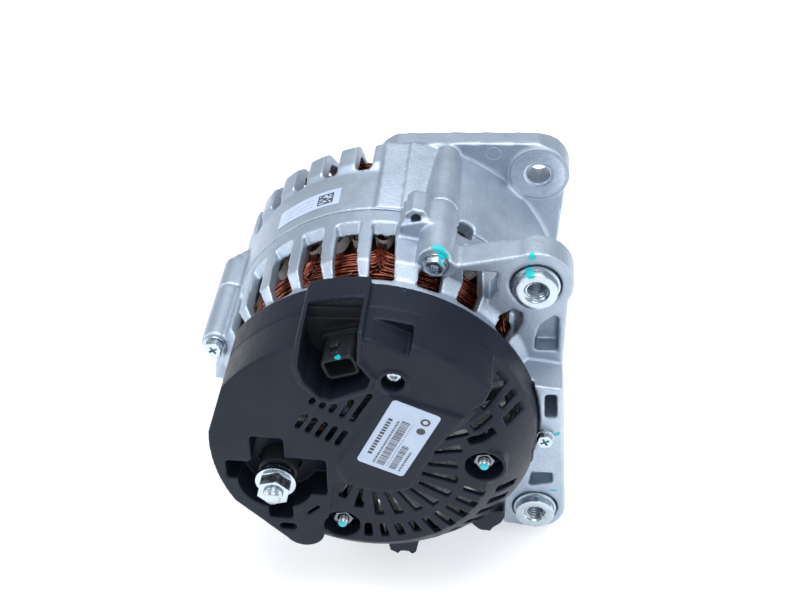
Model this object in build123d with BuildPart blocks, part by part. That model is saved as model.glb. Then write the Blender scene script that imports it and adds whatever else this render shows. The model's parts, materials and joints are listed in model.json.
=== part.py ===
"""Car alternator, 12 V claw-pole type, seen from its slip-ring end.

Frame: millimetres. The rotor axis is the Y axis and +Y points out of the drive end, where the
pulley is. +Z is up. The origin is on the rotor axis, in the plane of the two rear bush faces.
"""

import os
from math import atan2, cos, degrees, hypot, radians, sin, tan

from build123d import *

# ---------------------------------------------------------------- driving dimensions
HOUSING_R = 72.0            # outside of the two brackets
SPLIT_Y = 42.0              # joint between rear and front bracket
END_WALL_Y = -9.0           # rear face of the rear bracket's end wall
END_WALL = 4.5
CHAMFER_R = 67.5            # the rear bracket is drawn in here, next to the cover
FRONT_FACE_Y = 101.0        # front face of the front bracket

CORE_R, BORE_R = 66.0, 48.6  # stator core, outside and bore
CORE_Y0, CORE_Y1 = 40.0, 72.0
SLOTS = 36
ROTOR_R = 48.1
POLE_PAIRS = 6

UPPER_EAR = (66.7, 64.1)    # x, z of the upper and lower mounting axes
LOWER_EAR = (75.3, -73.3)
REAR_EAR_Y = (4.5, 18.5)
FRONT_EAR_Y = (86.5, 100.0)
BUSH_NOSE_R, BUSH_R = 9.2, 10.2
BUSH_THREAD_R = 4.25        # M10 x 1.5, drawn at its minor diameter
EYE_BORE_R = 5.25

BOLT_PITCH_R = 75.7         # through bolts that clamp the brackets
BOLT_ANGLES = {"a": 71.3, "b": 166.2, "c": -4.5, "d": -100.0}
BOLT_SEAT_Y = {"a": 6.5, "b": 6.5, "c": -13.0, "d": 6.5}
BOLT_END_Y = {"a": 84.0, "b": 62.0, "c": 84.0, "d": 84.0}
BOLT_R = 2.5
BOSS_R = 7.6

COVER_R = 71.9
COVER_WALL = 2.2
COVER_SHOULDER_Y = -22.8
GRILLE_Y = -41.5
FACE_Y = -43.2
PLATEAU_Y = -44.4
CUPS = [(-11.6, -41.2), (49.6, 2.0)]    # nut recesses of the cover
CUP_R, CUP_FLOOR_Y = 8.1, -32.6
STUD_TIP_Y = -41.8
SMALL_CUP, SMALL_CUP_R, SMALL_CUP_FLOOR_Y = (11.5, 49.2), 4.8, -37.6
BAY_FLOOR_Y = -29.0                     # floor of the recess round the output stud

B_PLUS = (-39.8, -15.0)
B_PLUS_SEAT_Y = -41.6
B_PLUS_TIP_Y = -52.9

SHAFT_R = 8.5
REAR_JOURNAL_R = 7.5
RING_R = 7.6                # slip rings
RING_YS = (-31.0, -20.0)
RING_W = 7.0
FRONT_BEARING = {"bore": 8.5, "outer": 23.5, "y0": 88.0, "width": 14.0, "ball": 4.35, "balls": 7}
REAR_BEARING = {"bore": 7.5, "outer": 17.5, "y0": -6.0, "width": 11.0, "ball": 3.0, "balls": 8}
PULLEY_R, PULLEY_Y0, PULLEY_Y1 = 28.0, 108.5, 133.5
BELT_Y = 121.0
SHAFT_END_Y = 147.0

CONNECTOR_AT = (-10.4, 50.4)
CONNECTOR_TILT = 20.0
CONNECTOR_MOUTH_Y, CONNECTOR_BACK_Y = -38.0, -19.0

os.makedirs("parts", exist_ok=True)


# ---------------------------------------------------------------- helpers
def across(y):
    """Sketch plane square to the shaft, seen from the rear: its own x is X, its own y is Z."""
    return Plane.XZ.offset(-y)


def along(angle):
    """Sketch plane through the shaft at this angle from +X: its own x is the radius, its y is Y."""
    turn = radians(angle)
    return Plane(origin=(0, 0, 0), x_dir=(cos(turn), 0, sin(turn)), z_dir=(-sin(turn), 0, cos(turn)))


def polar(radius, angle):
    return (radius * cos(radians(angle)), radius * sin(radians(angle)))


def spun(points, angle):
    """The (x, z) points turned about the shaft."""
    return [polar(hypot(x, z), degrees(atan2(z, x)) + angle) for x, z in points]


def bolt_at(name):
    return polar(BOLT_PITCH_R, BOLT_ANGLES[name])


def write(piece, name):
    piece.part.label = name
    export_step(piece.part, f"parts/{name}.step")


def turned(points, mode=Mode.ADD, arc=360.0, start=0.0):
    """Revolves a closed (radius, y) outline about the shaft, clockwise from the start angle."""
    with BuildSketch(along(start)) as profile:
        with BuildLine():
            Polyline(*points, close=True)
        make_face()
    revolve(profile.sketch, axis=Axis.Y, revolution_arc=arc, mode=mode)


def ring(radius_in, radius_out, y0, y1, mode=Mode.ADD):
    """A plain ring about the shaft between two stations."""
    turned([(radius_in, y0), (radius_out, y0), (radius_out, y1), (radius_in, y1)], mode=mode)


def plug(at, radius, y0, y1, mode=Mode.ADD):
    """A cylinder parallel to the shaft, centred on the (x, z) point."""
    with BuildSketch(across(y1)) as profile:
        with Locations(at):
            Circle(radius)
    extrude(profile.sketch, amount=y1 - y0, mode=mode)


def slab(points, y0, y1, mode=Mode.ADD):
    """An (x, z) outline with straight sides, extruded along the shaft."""
    with BuildSketch(across(y1)) as profile:
        with BuildLine():
            Polyline(*points, close=True)
        make_face()
    extrude(profile.sketch, amount=y1 - y0, mode=mode)


def hexagon(at, across_flats, y0, y1, mode=Mode.ADD, turn=0.0):
    with BuildSketch(across(y1)) as profile:
        with Locations(at):
            RegularPolygon(across_flats / 2, 6, major_radius=False, rotation=turn)
    extrude(profile.sketch, amount=y1 - y0, mode=mode)


def rounded_slot(start, end, width, y0, y1, mode=Mode.SUBTRACT):
    """A round-ended slot between two (x, z) points, cut along the shaft."""
    run = (end[0] - start[0], end[1] - start[1])
    middle = ((start[0] + end[0]) / 2, (start[1] + end[1]) / 2)
    with BuildSketch(across(y1)) as profile:
        with Locations(Location((middle[0], middle[1], 0), (0, 0, degrees(atan2(run[1], run[0]))))):
            SlotCenterToCenter(hypot(*run), width)
    extrude(profile.sketch, amount=y1 - y0, mode=mode)


def window(angle, near, far, near_width, far_width, lean=0.0):
    """A cooling window cut straight in towards the shaft: its far end is narrower and leans over."""
    turn = radians(angle)
    outward = (cos(turn), 0, sin(turn))
    tangent_plane = Plane(origin=tuple(80 * part for part in outward), x_dir=(0, 1, 0), z_dir=outward)
    with BuildSketch(tangent_plane) as profile:
        with BuildLine():
            Polyline((near, -near_width / 2), (far, lean - far_width / 2), (far, lean + far_width / 2),
                     (near, near_width / 2), close=True)
        make_face()
        fillet(profile.vertices(), 1.8)
    extrude(profile.sketch, amount=-22, mode=Mode.SUBTRACT)


# ---------------------------------------------------------------- rear bracket
WINDOW_PITCH = 360.0 / 28
FIRST_WINDOW = 87.8
WINDOWS_UNDER_ARM = [70.5, 55.0, 36.3]
PLAIN_SECTORS = [(166.2, 7.0), (31.0, 49.0), (-4.5, 16.0), (-100.0, 7.0)]    # middle and half angle
SIDE_WINDOW = 60.5          # angle of the small opening across the parting line, beside bolt a
LEAN = 1.9                  # how far the far end of a window leans over
LEAN_ANGLE = 1.5
SCOOP_ARC = 8.6             # angle of the sloped lip at the far end of a window
RECTIFIER_SCREWS = [polar(56.0, 182.0), polar(56.0, 264.0)]
PHASE_ANGLES = [233.0, 291.0, 331.0]
PHASE_R = 56.5
REGULATOR_SCREWS = [(-33.0, 44.0), polar(34.0, 126.0), polar(38.0, 54.0)]
REGULATOR_Y = (-20.3, -13.0)


def is_plain(angle, sectors):
    return any(abs((angle - centre + 180) % 360 - 180) < half for centre, half in sectors)


def outline_on_drum(points, y0, y1, inner=HOUSING_R - 0.8):
    """A flange whose inner edge stops on the drum, so that it never closes a window."""
    with BuildSketch(across(y1)) as profile:
        with BuildLine():
            Polyline(*points, close=True)
        make_face()
        Circle(inner, mode=Mode.SUBTRACT)
    extrude(profile.sketch, amount=y1 - y0)


def rear_flange():
    """The plate that carries both rear ears, with the arm to boss A and the right-hand strip."""
    near, far = REAR_EAR_Y
    outline_on_drum([(18, 66), (25, 77.5), (34, 72.5), (60.2, 79.3), UPPER_EAR, (70, 50), (52, 40), (44, 50),
                     (47, 52.3), (52.4, 63.6), (51.9, 69.8), (33.8, 69.8), (30, 66)], near, far)
    outline_on_drum([(52, 40), (66, 56), (80.6, 58), (81.2, 20), (84, -8), (89.2, -68), LOWER_EAR, (55, -72),
                     (48, -48)], near, far)
    slab([(51, 45.5), (57.6, 50.4), (61.8, 50.7), (62.3, 43.7), (59.5, 36.4), (57, 36)], near - 1, far + 1,
         mode=Mode.SUBTRACT)
    plug((66.3, 64.5), 16.2, near, far)
    plug(LOWER_EAR, 14.4, near, far)
    slab([(61, -86), (72, -87.4), (76, -74), (58, -60)], near, far)
    strip = [(60, 24), (81.0, 22), (83.4, -8), (85.6, -30), (60, -30)]
    outline_on_drum(strip, END_WALL_Y, 20.0, inner=CHAMFER_R - 0.8)
    outline_on_drum(strip, -13.0, END_WALL_Y, inner=COVER_R + 0.5)


def rear_window(angle):
    window(angle, -1.0, 28.5, 10.6, 9.6, LEAN)
    turned([(66, 27.0), (74, 27.0), (74, 34.8), (66.5, 28.0)], mode=Mode.SUBTRACT, arc=SCOOP_ARC,
           start=angle + LEAN_ANGLE + SCOOP_ARC / 2)


with BuildPart() as rear_bracket:
    turned([(21.5, END_WALL_Y), (CHAMFER_R, END_WALL_Y), (CHAMFER_R, 0.0), (HOUSING_R, 6.5),
            (HOUSING_R, SPLIT_Y), (0, SPLIT_Y), (0, END_WALL_Y)])
    # cooling windows, each with its far end sloped like a scoop
    for index in range(28):
        if not is_plain(FIRST_WINDOW + index * WINDOW_PITCH, PLAIN_SECTORS):
            rear_window(FIRST_WINDOW + index * WINDOW_PITCH)
    for angle in WINDOWS_UNDER_ARM:
        rear_window(angle)
    window(SIDE_WINDOW, SPLIT_Y - 4.5, SPLIT_Y + 1.0, 7.4, 7.4)
    rear_flange()
    for name in BOLT_ANGLES:
        plug(bolt_at(name), 6.4 if name == "b" else BOSS_R, BOLT_SEAT_Y[name], SPLIT_Y)
    ring(60.0, COVER_R + 0.5, -14.0, END_WALL_Y, mode=Mode.SUBTRACT)
    slab([(8, 68), (8, 77), (18, 79.5), (24, 79), (30, 70)], 24.0, SPLIT_Y)
    slab([(9.8, 74), (9.8, 81), (13, 83.5), (18.2, 82.5), (20, 79), (20, 74)], 27.0, SPLIT_Y)
    slab([(-66, 11.5), (-73.6, 11), (-75.4, -2.3), (-66, -2.3)], 6.0, 24.0)
    # the inside: room for the rear end turns, and the seat for the stator
    turned([(0, END_WALL_Y + END_WALL), (62.8, END_WALL_Y + END_WALL), (62.8, 2.0), (67.2, 8.5), (67.2, 31),
            (64.2, 34), (64.2, CORE_Y0), (CORE_R + 0.02, CORE_Y0), (CORE_R + 0.02, SPLIT_Y + 1),
            (0, SPLIT_Y + 1)], mode=Mode.SUBTRACT)
    # bearing seat, open to the rear for the slip rings
    ring(17.5, 22.5, END_WALL_Y, 6.5)
    ring(12.0, 19.0, END_WALL_Y, -6.0)
    plug((0, 0), 12.0, END_WALL_Y - 1, -5.0, mode=Mode.SUBTRACT)
    plug((0, 0), 17.5, -6.0, 8.0, mode=Mode.SUBTRACT)
    # air inlets through the end wall, with a land under each cover stud
    for index in range(10):
        turned([(27, END_WALL_Y - 1), (50, END_WALL_Y - 1), (50, 1), (27, 1)],
               mode=Mode.SUBTRACT, arc=26.0, start=index * 36 + 13.0)
    for at in CUPS:
        plug(at, 8.5, END_WALL_Y, END_WALL_Y + END_WALL)
        plug(at, BOLT_R, END_WALL_Y - 1, 0, mode=Mode.SUBTRACT)
    for at in REGULATOR_SCREWS:
        plug(at, 4.0, REGULATOR_Y[1] + 0.02, END_WALL_Y + 1)
    for at in RECTIFIER_SCREWS + REGULATOR_SCREWS:
        plug(at, 2.0, REGULATOR_Y[1] - 1, 0, mode=Mode.SUBTRACT)
    for angle in PHASE_ANGLES:
        plug(polar(PHASE_R, angle), 2.2, END_WALL_Y - 1, 0, mode=Mode.SUBTRACT)
    # pockets that lighten the strip between the ears
    slab([(68.4, 28.0), (68.2, 34.3), (69.8, 42.5), (75.4, 48.4), (77.4, 47.0), (78.4, 28.6)], 3.5, 13.0,
         mode=Mode.SUBTRACT)
    slab([(73.8, 18.0), (78.6, 19.0), (79.6, 5.6), (74.6, 4.4)], -14.0, 6.0, mode=Mode.SUBTRACT)
    slab([(72.5, -45.7), (81.0, -44.8), (82.5, -55.2), (71.1, -58.6)], 3.5, 13.0, mode=Mode.SUBTRACT)
    for ear in (UPPER_EAR, LOWER_EAR):
        plug(ear, BUSH_R, REAR_EAR_Y[0] - 1, REAR_EAR_Y[1] + 1, mode=Mode.SUBTRACT)
        plug(ear, 10.9, REAR_EAR_Y[0] - 1, 7.5, mode=Mode.SUBTRACT)
    for name in BOLT_ANGLES:
        plug(bolt_at(name), BOLT_R + 0.25, -20, SPLIT_Y + 1, mode=Mode.SUBTRACT)
        plug(bolt_at(name), 6.0, BOLT_SEAT_Y[name] - 7, BOLT_SEAT_Y[name], mode=Mode.SUBTRACT)
    plug((14.6, 78.6), 2.1, 26, 36, mode=Mode.SUBTRACT)
write(rear_bracket, "rear_bracket")


# ---------------------------------------------------------------- front bracket
FRONT_WALL_Y = 96.5         # inner face of the front wall


PLATE_Y = (88.0, 98.5)      # rear and front face of the mounting plate
FINGER_W = (7.6, 8.2)       # width of a window between two fingers, at its rear and front end
FRONT_PLAIN_SECTORS = [(57.0, 42.0), (166.2, 7.0), (-19.0, 37.0), (-100.0, 7.0)]


def front_flange():
    """The drive-end mounting plate: both front ears and the web between them."""
    with BuildSketch(across(PLATE_Y[1])) as profile:
        with BuildLine():
            Polyline((-9, 60), (-6.5, 71), (0, 75.6), (28, 77.8), (66, 79.8), (75.5, 76.5), (79.8, 68),
                     (79.8, 58), (78.2, 20), (81, -20), (88.4, -66), (88, -80), (76, -87.6), (64, -84),
                     (50, -60), (40, 0), close=True)
        make_face()
        fillet(profile.vertices().group_by(Axis.Z)[-1], 6)
    extrude(profile.sketch, amount=PLATE_Y[1] - PLATE_Y[0])
    for ear in (UPPER_EAR, LOWER_EAR):
        plug(ear, 14.3, *FRONT_EAR_Y)


def drafted_boss():
    """The boss of bolt a, which narrows towards the plate and sinks into the tower."""
    draft = 2.6
    small = BOSS_R - (PLATE_Y[0] + 1.0 - SPLIT_Y) * tan(radians(draft))
    with BuildSketch(across(PLATE_Y[0] + 1.0)) as profile:
        with Locations(bolt_at("a")):
            Circle(small)
    extrude(profile.sketch, amount=PLATE_Y[0] + 1.0 - SPLIT_Y, taper=-draft)


def short_boss():
    """The boss of bolt b, whose front end slopes down to the drum."""
    for radius, reach, end in ((6.4, BOLT_PITCH_R, 63.0), (6.4, 73.0, 67.0), (6.2, 70.5, 71.0)):
        plug(polar(reach, BOLT_ANGLES["b"]), radius, SPLIT_Y, end)


def tower():
    """The solid drafted sector between the boss of bolt a and the first finger, with its dished panel."""
    turned([(60, SPLIT_Y), (72.5, SPLIT_Y), (78.0, PLATE_Y[0]), (60, PLATE_Y[0])], arc=62.0, start=76.0)
    turned([(60, SPLIT_Y), (73.6, SPLIT_Y), (78.2, PLATE_Y[0]), (60, PLATE_Y[0])], arc=10.0, start=84.4)
    turned([(60, SPLIT_Y), (72.8, SPLIT_Y), (77.3, PLATE_Y[0]), (60, PLATE_Y[0])], arc=9.6, start=93.5)
    with BuildSketch(along(87.6)) as dish:
        with BuildLine():
            Polyline((73.2, 47.0), (90.0, 47.0), (90.0, 84.0), (77.4, 84.0), close=True)
        make_face()
    extrude(dish.sketch, amount=2.4, both=True, taper=18, mode=Mode.SUBTRACT)


with BuildPart() as front_bracket:
    turned([(0, SPLIT_Y), (HOUSING_R, SPLIT_Y), (HOUSING_R, 72), (74, 76), (74, 90), (70, 97),
            (62, FRONT_FACE_Y), (0, FRONT_FACE_Y)])
    front_flange()
    tower()
    drafted_boss()
    for name in ("c", "d"):
        plug(bolt_at(name), BOSS_R, SPLIT_Y, 92.0)
    short_boss()
    plug((0, 0), CORE_R + 0.02, SPLIT_Y - 1, CORE_Y1, mode=Mode.SUBTRACT)
    turned([(0, CORE_Y1 - 1), (64.2, CORE_Y1 - 1), (64.2, 75), (67.5, 78), (67.5, 91), (62, FRONT_WALL_Y),
            (0, FRONT_WALL_Y)], mode=Mode.SUBTRACT)
    ring(23.5, 29.0, 86.5, FRONT_FACE_Y + 2.5)
    plug((0, 0), 23.5, 80.0, 102.0, mode=Mode.SUBTRACT)
    plug((0, 0), 20.0, 100.0, 106.0, mode=Mode.SUBTRACT)
    for index in range(28):
        centre = FIRST_WINDOW + index * WINDOW_PITCH
        if is_plain(centre, FRONT_PLAIN_SECTORS):
            continue
        window(centre, CORE_Y1 + 1.5, FRONT_FACE_Y + 4.0, *FINGER_W)
    window(SIDE_WINDOW, SPLIT_Y - 1.0, SPLIT_Y + 4.5, 7.4, 7.4)
    # air outlets in the front wall
    for index in range(12):
        turned([(33, 90), (56, 90), (56, 106), (33, 106)],
               mode=Mode.SUBTRACT, arc=22.0, start=index * 30 + 11.0)
    for ear in (UPPER_EAR, LOWER_EAR):
        plug(ear, EYE_BORE_R, 80, 110, mode=Mode.SUBTRACT)
    for name in BOLT_ANGLES:
        plug(bolt_at(name), BOLT_R, SPLIT_Y - 1, BOLT_END_Y[name] + 2.0, mode=Mode.SUBTRACT)
    for index in range(4):
        plug(polar(26.0, 45 + index * 90), 1.6, 80.0, 97.0, mode=Mode.SUBTRACT)
write(front_bracket, "front_bracket")


# ---------------------------------------------------------------- threaded bushes and bolts
def bush(at):
    plug(at, BUSH_NOSE_R, 0.0, 5.0)
    plug(at, BUSH_R, 4.0, 20.5)
    plug(at, BUSH_THREAD_R, -1.0, 21.5, mode=Mode.SUBTRACT)


with BuildPart() as upper_rear_bush:
    bush(UPPER_EAR)
    chamfer(upper_rear_bush.faces().sort_by(Axis.Y)[0].edges().sort_by(SortBy.RADIUS)[0], 1.3)
write(upper_rear_bush, "upper_rear_bush")

with BuildPart() as lower_rear_bush:
    bush(LOWER_EAR)
    chamfer(lower_rear_bush.faces().sort_by(Axis.Y)[0].edges().sort_by(SortBy.RADIUS)[0], 1.3)
write(lower_rear_bush, "lower_rear_bush")

with BuildPart() as through_bolts:
    for name in BOLT_ANGLES:
        seat = BOLT_SEAT_Y[name]
        plug(bolt_at(name), BOLT_R, seat - 0.5, BOLT_END_Y[name])
        flange, flats = (4.1, 6.4) if name == "c" else (5.3, 8.0)
        plug(bolt_at(name), flange, seat - 1.1, seat)
        hexagon(bolt_at(name), flats, seat - 4.2, seat - 0.9, turn=12.0)
        for turn in (0, 90):
            with BuildSketch(across(seat - 2.6)) as cross:
                with Locations(Location((*bolt_at(name), 0), (0, 0, turn + 30))):
                    Rectangle(4.2, 1.0)
            extrude(cross.sketch, amount=3.0, mode=Mode.SUBTRACT)
write(through_bolts, "through_bolts")


# ---------------------------------------------------------------- stator
SLOT_PITCH = 360.0 / SLOTS
SLOT_R0, SLOT_R1, SLOT_W = BORE_R + 1.4, 61.0, 4.6

with BuildPart() as stator_core:
    ring(BORE_R, CORE_R, CORE_Y0, CORE_Y1)
    for index in range(SLOTS):
        with BuildSketch(across(CORE_Y1 + 1)) as slot:
            with Locations(Location((0, 0, 0), (0, 0, index * SLOT_PITCH))):
                with Locations(((SLOT_R0 + SLOT_R1) / 2, 0)):
                    Rectangle(SLOT_R1 - SLOT_R0, SLOT_W)
                with Locations((BORE_R, 0)):
                    Rectangle(4.0, 2.0)
        extrude(slot.sketch, amount=CORE_Y1 - CORE_Y0 + 2, mode=Mode.SUBTRACT)
write(stator_core, "stator_core")

LINER = 0.35
LINER_Y0, LINER_Y1 = CORE_Y0 - 4.0, CORE_Y1 + 4.0
with BuildPart() as slot_liners:
    for index in range(SLOTS):
        with BuildSketch(across(LINER_Y1)) as liner:
            with Locations(Location((0, 0, 0), (0, 0, index * SLOT_PITCH))):
                with Locations(((SLOT_R0 + SLOT_R1) / 2, 0)):
                    Rectangle(SLOT_R1 - SLOT_R0 - 0.04, SLOT_W - 0.04)
                    Rectangle(SLOT_R1 - SLOT_R0 - 0.04 - 2 * LINER, SLOT_W - 0.04 - 2 * LINER,
                              mode=Mode.SUBTRACT)
        extrude(liner.sketch, amount=LINER_Y1 - LINER_Y0)
write(slot_liners, "slot_liners")

REAR_TURNS_Y, FRONT_TURNS_Y = (9.5, LINER_Y0 - 0.2), (LINER_Y1 + 0.2, 94.0)
with BuildPart() as stator_winding:
    turned([(51.5, REAR_TURNS_Y[1]), (50.0, 30), (52.5, 12), (55, REAR_TURNS_Y[0]), (59, REAR_TURNS_Y[0]),
            (62.2, 13), (62.8, 30), (60.5, REAR_TURNS_Y[1])])
    turned([(51.5, FRONT_TURNS_Y[0]), (50.0, 80), (52.5, 91), (55, FRONT_TURNS_Y[1]), (59, FRONT_TURNS_Y[1]),
            (62.2, 90), (62.8, 80), (60.5, FRONT_TURNS_Y[0])])
    for index in range(SLOTS):
        with BuildSketch(across(FRONT_TURNS_Y[0] + 1)) as bar:
            with Locations(Location((0, 0, 0), (0, 0, index * SLOT_PITCH))):
                with Locations(((SLOT_R0 + SLOT_R1) / 2, 0)):
                    Rectangle(SLOT_R1 - SLOT_R0 - 1.0, SLOT_W - 1.0)
        extrude(bar.sketch, amount=FRONT_TURNS_Y[0] - REAR_TURNS_Y[1] + 2)
write(stator_winding, "stator_winding")


# ---------------------------------------------------------------- rotor
ROTOR_Y0, ROTOR_Y1 = 34.0, 78.0
ROTOR_MID = (ROTOR_Y0 + ROTOR_Y1) / 2
POLE_DISC = 10.0
FIT = 0.02

with BuildPart() as rotor_shaft:
    turned([(0, -9.6), (REAR_JOURNAL_R - FIT, -9.6), (REAR_JOURNAL_R - FIT, 6.0), (SHAFT_R + 1.5, 6.0),
            (SHAFT_R + 1.5, 84.0), (SHAFT_R - FIT, 84.0), (SHAFT_R - FIT, 134.0), (7.9, 134.0),
            (7.9, SHAFT_END_Y - 1), (7.0, SHAFT_END_Y), (0, SHAFT_END_Y)])
    turned([(0, -37.0), (4.0, -37.0), (4.0, -9.0), (0, -9.0)])
    hexagon((0, 0), 6.0, SHAFT_END_Y - 6, SHAFT_END_Y + 1, mode=Mode.SUBTRACT)
write(rotor_shaft, "rotor_shaft")


def claw_pole(disc_y0, disc_y1, tip_y, first_angle):
    """A pole disc with six claws that reach over the field coil and narrow towards their tips."""
    towards = 1 if tip_y > disc_y1 else -1
    root = disc_y0 if towards > 0 else disc_y1
    ring(SHAFT_R + 1.5, 30.0, disc_y0, disc_y1)
    for index in range(POLE_PAIRS):
        angle = first_angle + index * 60
        slab(spun([(20, -9), (44, -14), (44, 14), (20, 9)], angle), disc_y0, disc_y1)
        outward = (cos(radians(angle)), 0, sin(radians(angle)))
        top = Plane(origin=tuple(52 * part for part in outward), x_dir=(0, 1, 0), z_dir=outward)
        with BuildSketch(top) as claw:
            with BuildLine():
                Polyline((root, -13.5), (root + towards * POLE_DISC, -13.5), (tip_y, -5.5), (tip_y, 5.5),
                         (root + towards * POLE_DISC, 13.5), (root, 13.5), close=True)
            make_face()
        extrude(claw.sketch, amount=-12.5)


with BuildPart() as rear_claw_pole:
    claw_pole(ROTOR_Y0, ROTOR_Y0 + POLE_DISC, ROTOR_Y1 - 2.0, 0.0)
    ring(ROTOR_R, 60, 0, 100, mode=Mode.SUBTRACT)
    turned([(38.8, ROTOR_Y0 + POLE_DISC), (36, ROTOR_Y0 + POLE_DISC), (36, 90), (43.5, 90)],
           mode=Mode.SUBTRACT)
write(rear_claw_pole, "rear_claw_pole")

with BuildPart() as front_claw_pole:
    claw_pole(ROTOR_Y1 - POLE_DISC, ROTOR_Y1, ROTOR_Y0 + 2.0, 30.0)
    ring(ROTOR_R, 60, 0, 100, mode=Mode.SUBTRACT)
    turned([(38.8, ROTOR_Y1 - POLE_DISC), (36, ROTOR_Y1 - POLE_DISC), (36, 20), (43.5, 20)],
           mode=Mode.SUBTRACT)
write(front_claw_pole, "front_claw_pole")

COIL_Y0, COIL_Y1 = ROTOR_Y0 + POLE_DISC, ROTOR_Y1 - POLE_DISC
with BuildPart() as coil_bobbin:
    turned([(SHAFT_R + 1.5 + FIT, COIL_Y0 + FIT), (35.5, COIL_Y0 + FIT), (35.5, COIL_Y0 + 1.5),
            (18.0, COIL_Y0 + 1.5), (18.0, COIL_Y1 - 1.5), (35.5, COIL_Y1 - 1.5), (35.5, COIL_Y1 - FIT),
            (SHAFT_R + 1.5 + FIT, COIL_Y1 - FIT)])
write(coil_bobbin, "coil_bobbin")

with BuildPart() as field_coil:
    ring(18.0 + FIT, 34.5, COIL_Y0 + 1.5 + FIT, COIL_Y1 - 1.5 - FIT)
write(field_coil, "field_coil")


def fan(plate_y0, plate_y1, tip_y, blades, eye_r):
    """A stamped fan: a scalloped plate with curved blades bent up square to it."""
    ring(SHAFT_R + 4.0, 45.0, plate_y0, plate_y1)
    low, high = min(plate_y0, tip_y), max(plate_y1, tip_y)
    for index in range(blades):
        angle = index * 360 / blades + (index % 3) * 4
        with BuildSketch(across(high)) as blade:
            with BuildLine():
                ThreePointArc(polar(eye_r, angle), polar(38, angle + 8), polar(46, angle + 24))
                Line(polar(46, angle + 24), polar(46, angle + 26))
                ThreePointArc(polar(46, angle + 26), polar(38, angle + 10.5), polar(eye_r, angle + 3.5))
                Line(polar(eye_r, angle + 3.5), polar(eye_r, angle))
            make_face()
        extrude(blade.sketch, amount=high - low)


with BuildPart() as rear_fan:
    fan(ROTOR_Y0 - 1.6, ROTOR_Y0 - FIT, ROTOR_Y0 - 12.0, 11, 27.0)
write(rear_fan, "rear_fan")

with BuildPart() as front_fan:
    fan(ROTOR_Y1 + FIT, ROTOR_Y1 + 1.6, ROTOR_Y1 + 8.0, 13, 31.0)
write(front_fan, "front_fan")

with BuildPart() as slip_ring_body:
    turned([(4.0 + FIT, -37.0), (8.6, -37.0), (8.6, -35.6), (6.2, -35.6), (6.2, -15.4), (8.6, -15.4),
            (8.6, -10.0), (4.0 + FIT, -10.0)])
    ring(6.0, 8.6, (RING_YS[0] + RING_YS[1]) / 2 - 1.2, (RING_YS[0] + RING_YS[1]) / 2 + 1.2)
write(slip_ring_body, "slip_ring_body")

with BuildPart() as slip_rings:
    for y in RING_YS:
        ring(6.2 + FIT, RING_R, y - RING_W / 2, y + RING_W / 2)
write(slip_rings, "slip_rings")


# ---------------------------------------------------------------- bearings
def bearing_sizes(bearing):
    pitch = (bearing["bore"] + bearing["outer"]) / 2
    middle = bearing["y0"] + bearing["width"] / 2
    return pitch, middle


def race(bearing, inner):
    """One race, with a groove a little wider than the balls."""
    pitch, middle = bearing_sizes(bearing)
    shoulder = bearing["ball"] * 0.45
    y0, y1 = bearing["y0"] + FIT, bearing["y0"] + bearing["width"] - FIT
    if inner:
        ring(bearing["bore"] + FIT / 2, pitch - shoulder, y0, y1)
    else:
        ring(pitch + shoulder, bearing["outer"] - FIT / 2, y0, y1)
    with BuildSketch(Plane.XY) as groove:
        with Locations((pitch, middle)):
            Circle(bearing["ball"] + 0.05)
    revolve(groove.sketch, axis=Axis.Y, mode=Mode.SUBTRACT)


def balls(bearing):
    pitch, middle = bearing_sizes(bearing)
    for index in range(bearing["balls"]):
        x, z = polar(pitch, (index + 0.5) * 360 / bearing["balls"])
        with Locations((x, middle, z)):
            Sphere(bearing["ball"])


def cage(bearing):
    """A pressed cage: a thin ring between the races with a pocket round each ball."""
    pitch, middle = bearing_sizes(bearing)
    half = bearing["ball"] * 0.3
    ring(pitch - half, pitch + half, middle - bearing["ball"] - 0.9, middle + bearing["ball"] + 0.9)
    for index in range(bearing["balls"]):
        x, z = polar(pitch, (index + 0.5) * 360 / bearing["balls"])
        outward = Plane(origin=(0, middle, 0), x_dir=(0, 1, 0), z_dir=(x, 0, z))
        with BuildSketch(outward) as pocket:
            Circle(bearing["ball"] + 0.12)
        extrude(pocket.sketch, amount=pitch * 1.5, mode=Mode.SUBTRACT)


for end, bearing in (("front", FRONT_BEARING), ("rear", REAR_BEARING)):
    with BuildPart() as bearing_inner:
        race(bearing, inner=True)
    write(bearing_inner, f"{end}_bearing_inner_race")
    with BuildPart() as bearing_outer:
        race(bearing, inner=False)
    write(bearing_outer, f"{end}_bearing_outer_race")
    with BuildPart() as bearing_balls:
        balls(bearing)
    write(bearing_balls, f"{end}_bearing_balls")
    with BuildPart() as bearing_cage:
        cage(bearing)
    write(bearing_cage, f"{end}_bearing_cage")

with BuildPart() as bearing_retainer:
    ring(20.0, 29.0, 84.4, 86.4)
    for index in range(4):
        plug(polar(26.0, 45 + index * 90), 1.8, 84, 87, mode=Mode.SUBTRACT)
write(bearing_retainer, "bearing_retainer")

with BuildPart() as retainer_screws:
    for index in range(4):
        at = polar(26.0, 45 + index * 90)
        plug(at, 1.58, 84.0, 95.0)
        plug(at, 2.6, 82.4, 84.38)
write(retainer_screws, "retainer_screws")

with BuildPart() as front_spacer:
    ring(SHAFT_R, 12.0, 84.02, 88.0)
write(front_spacer, "front_spacer")


# ---------------------------------------------------------------- pulley
GROOVES, GROOVE_PITCH, GROOVE_DEPTH = 6, 3.56, 2.8

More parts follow.
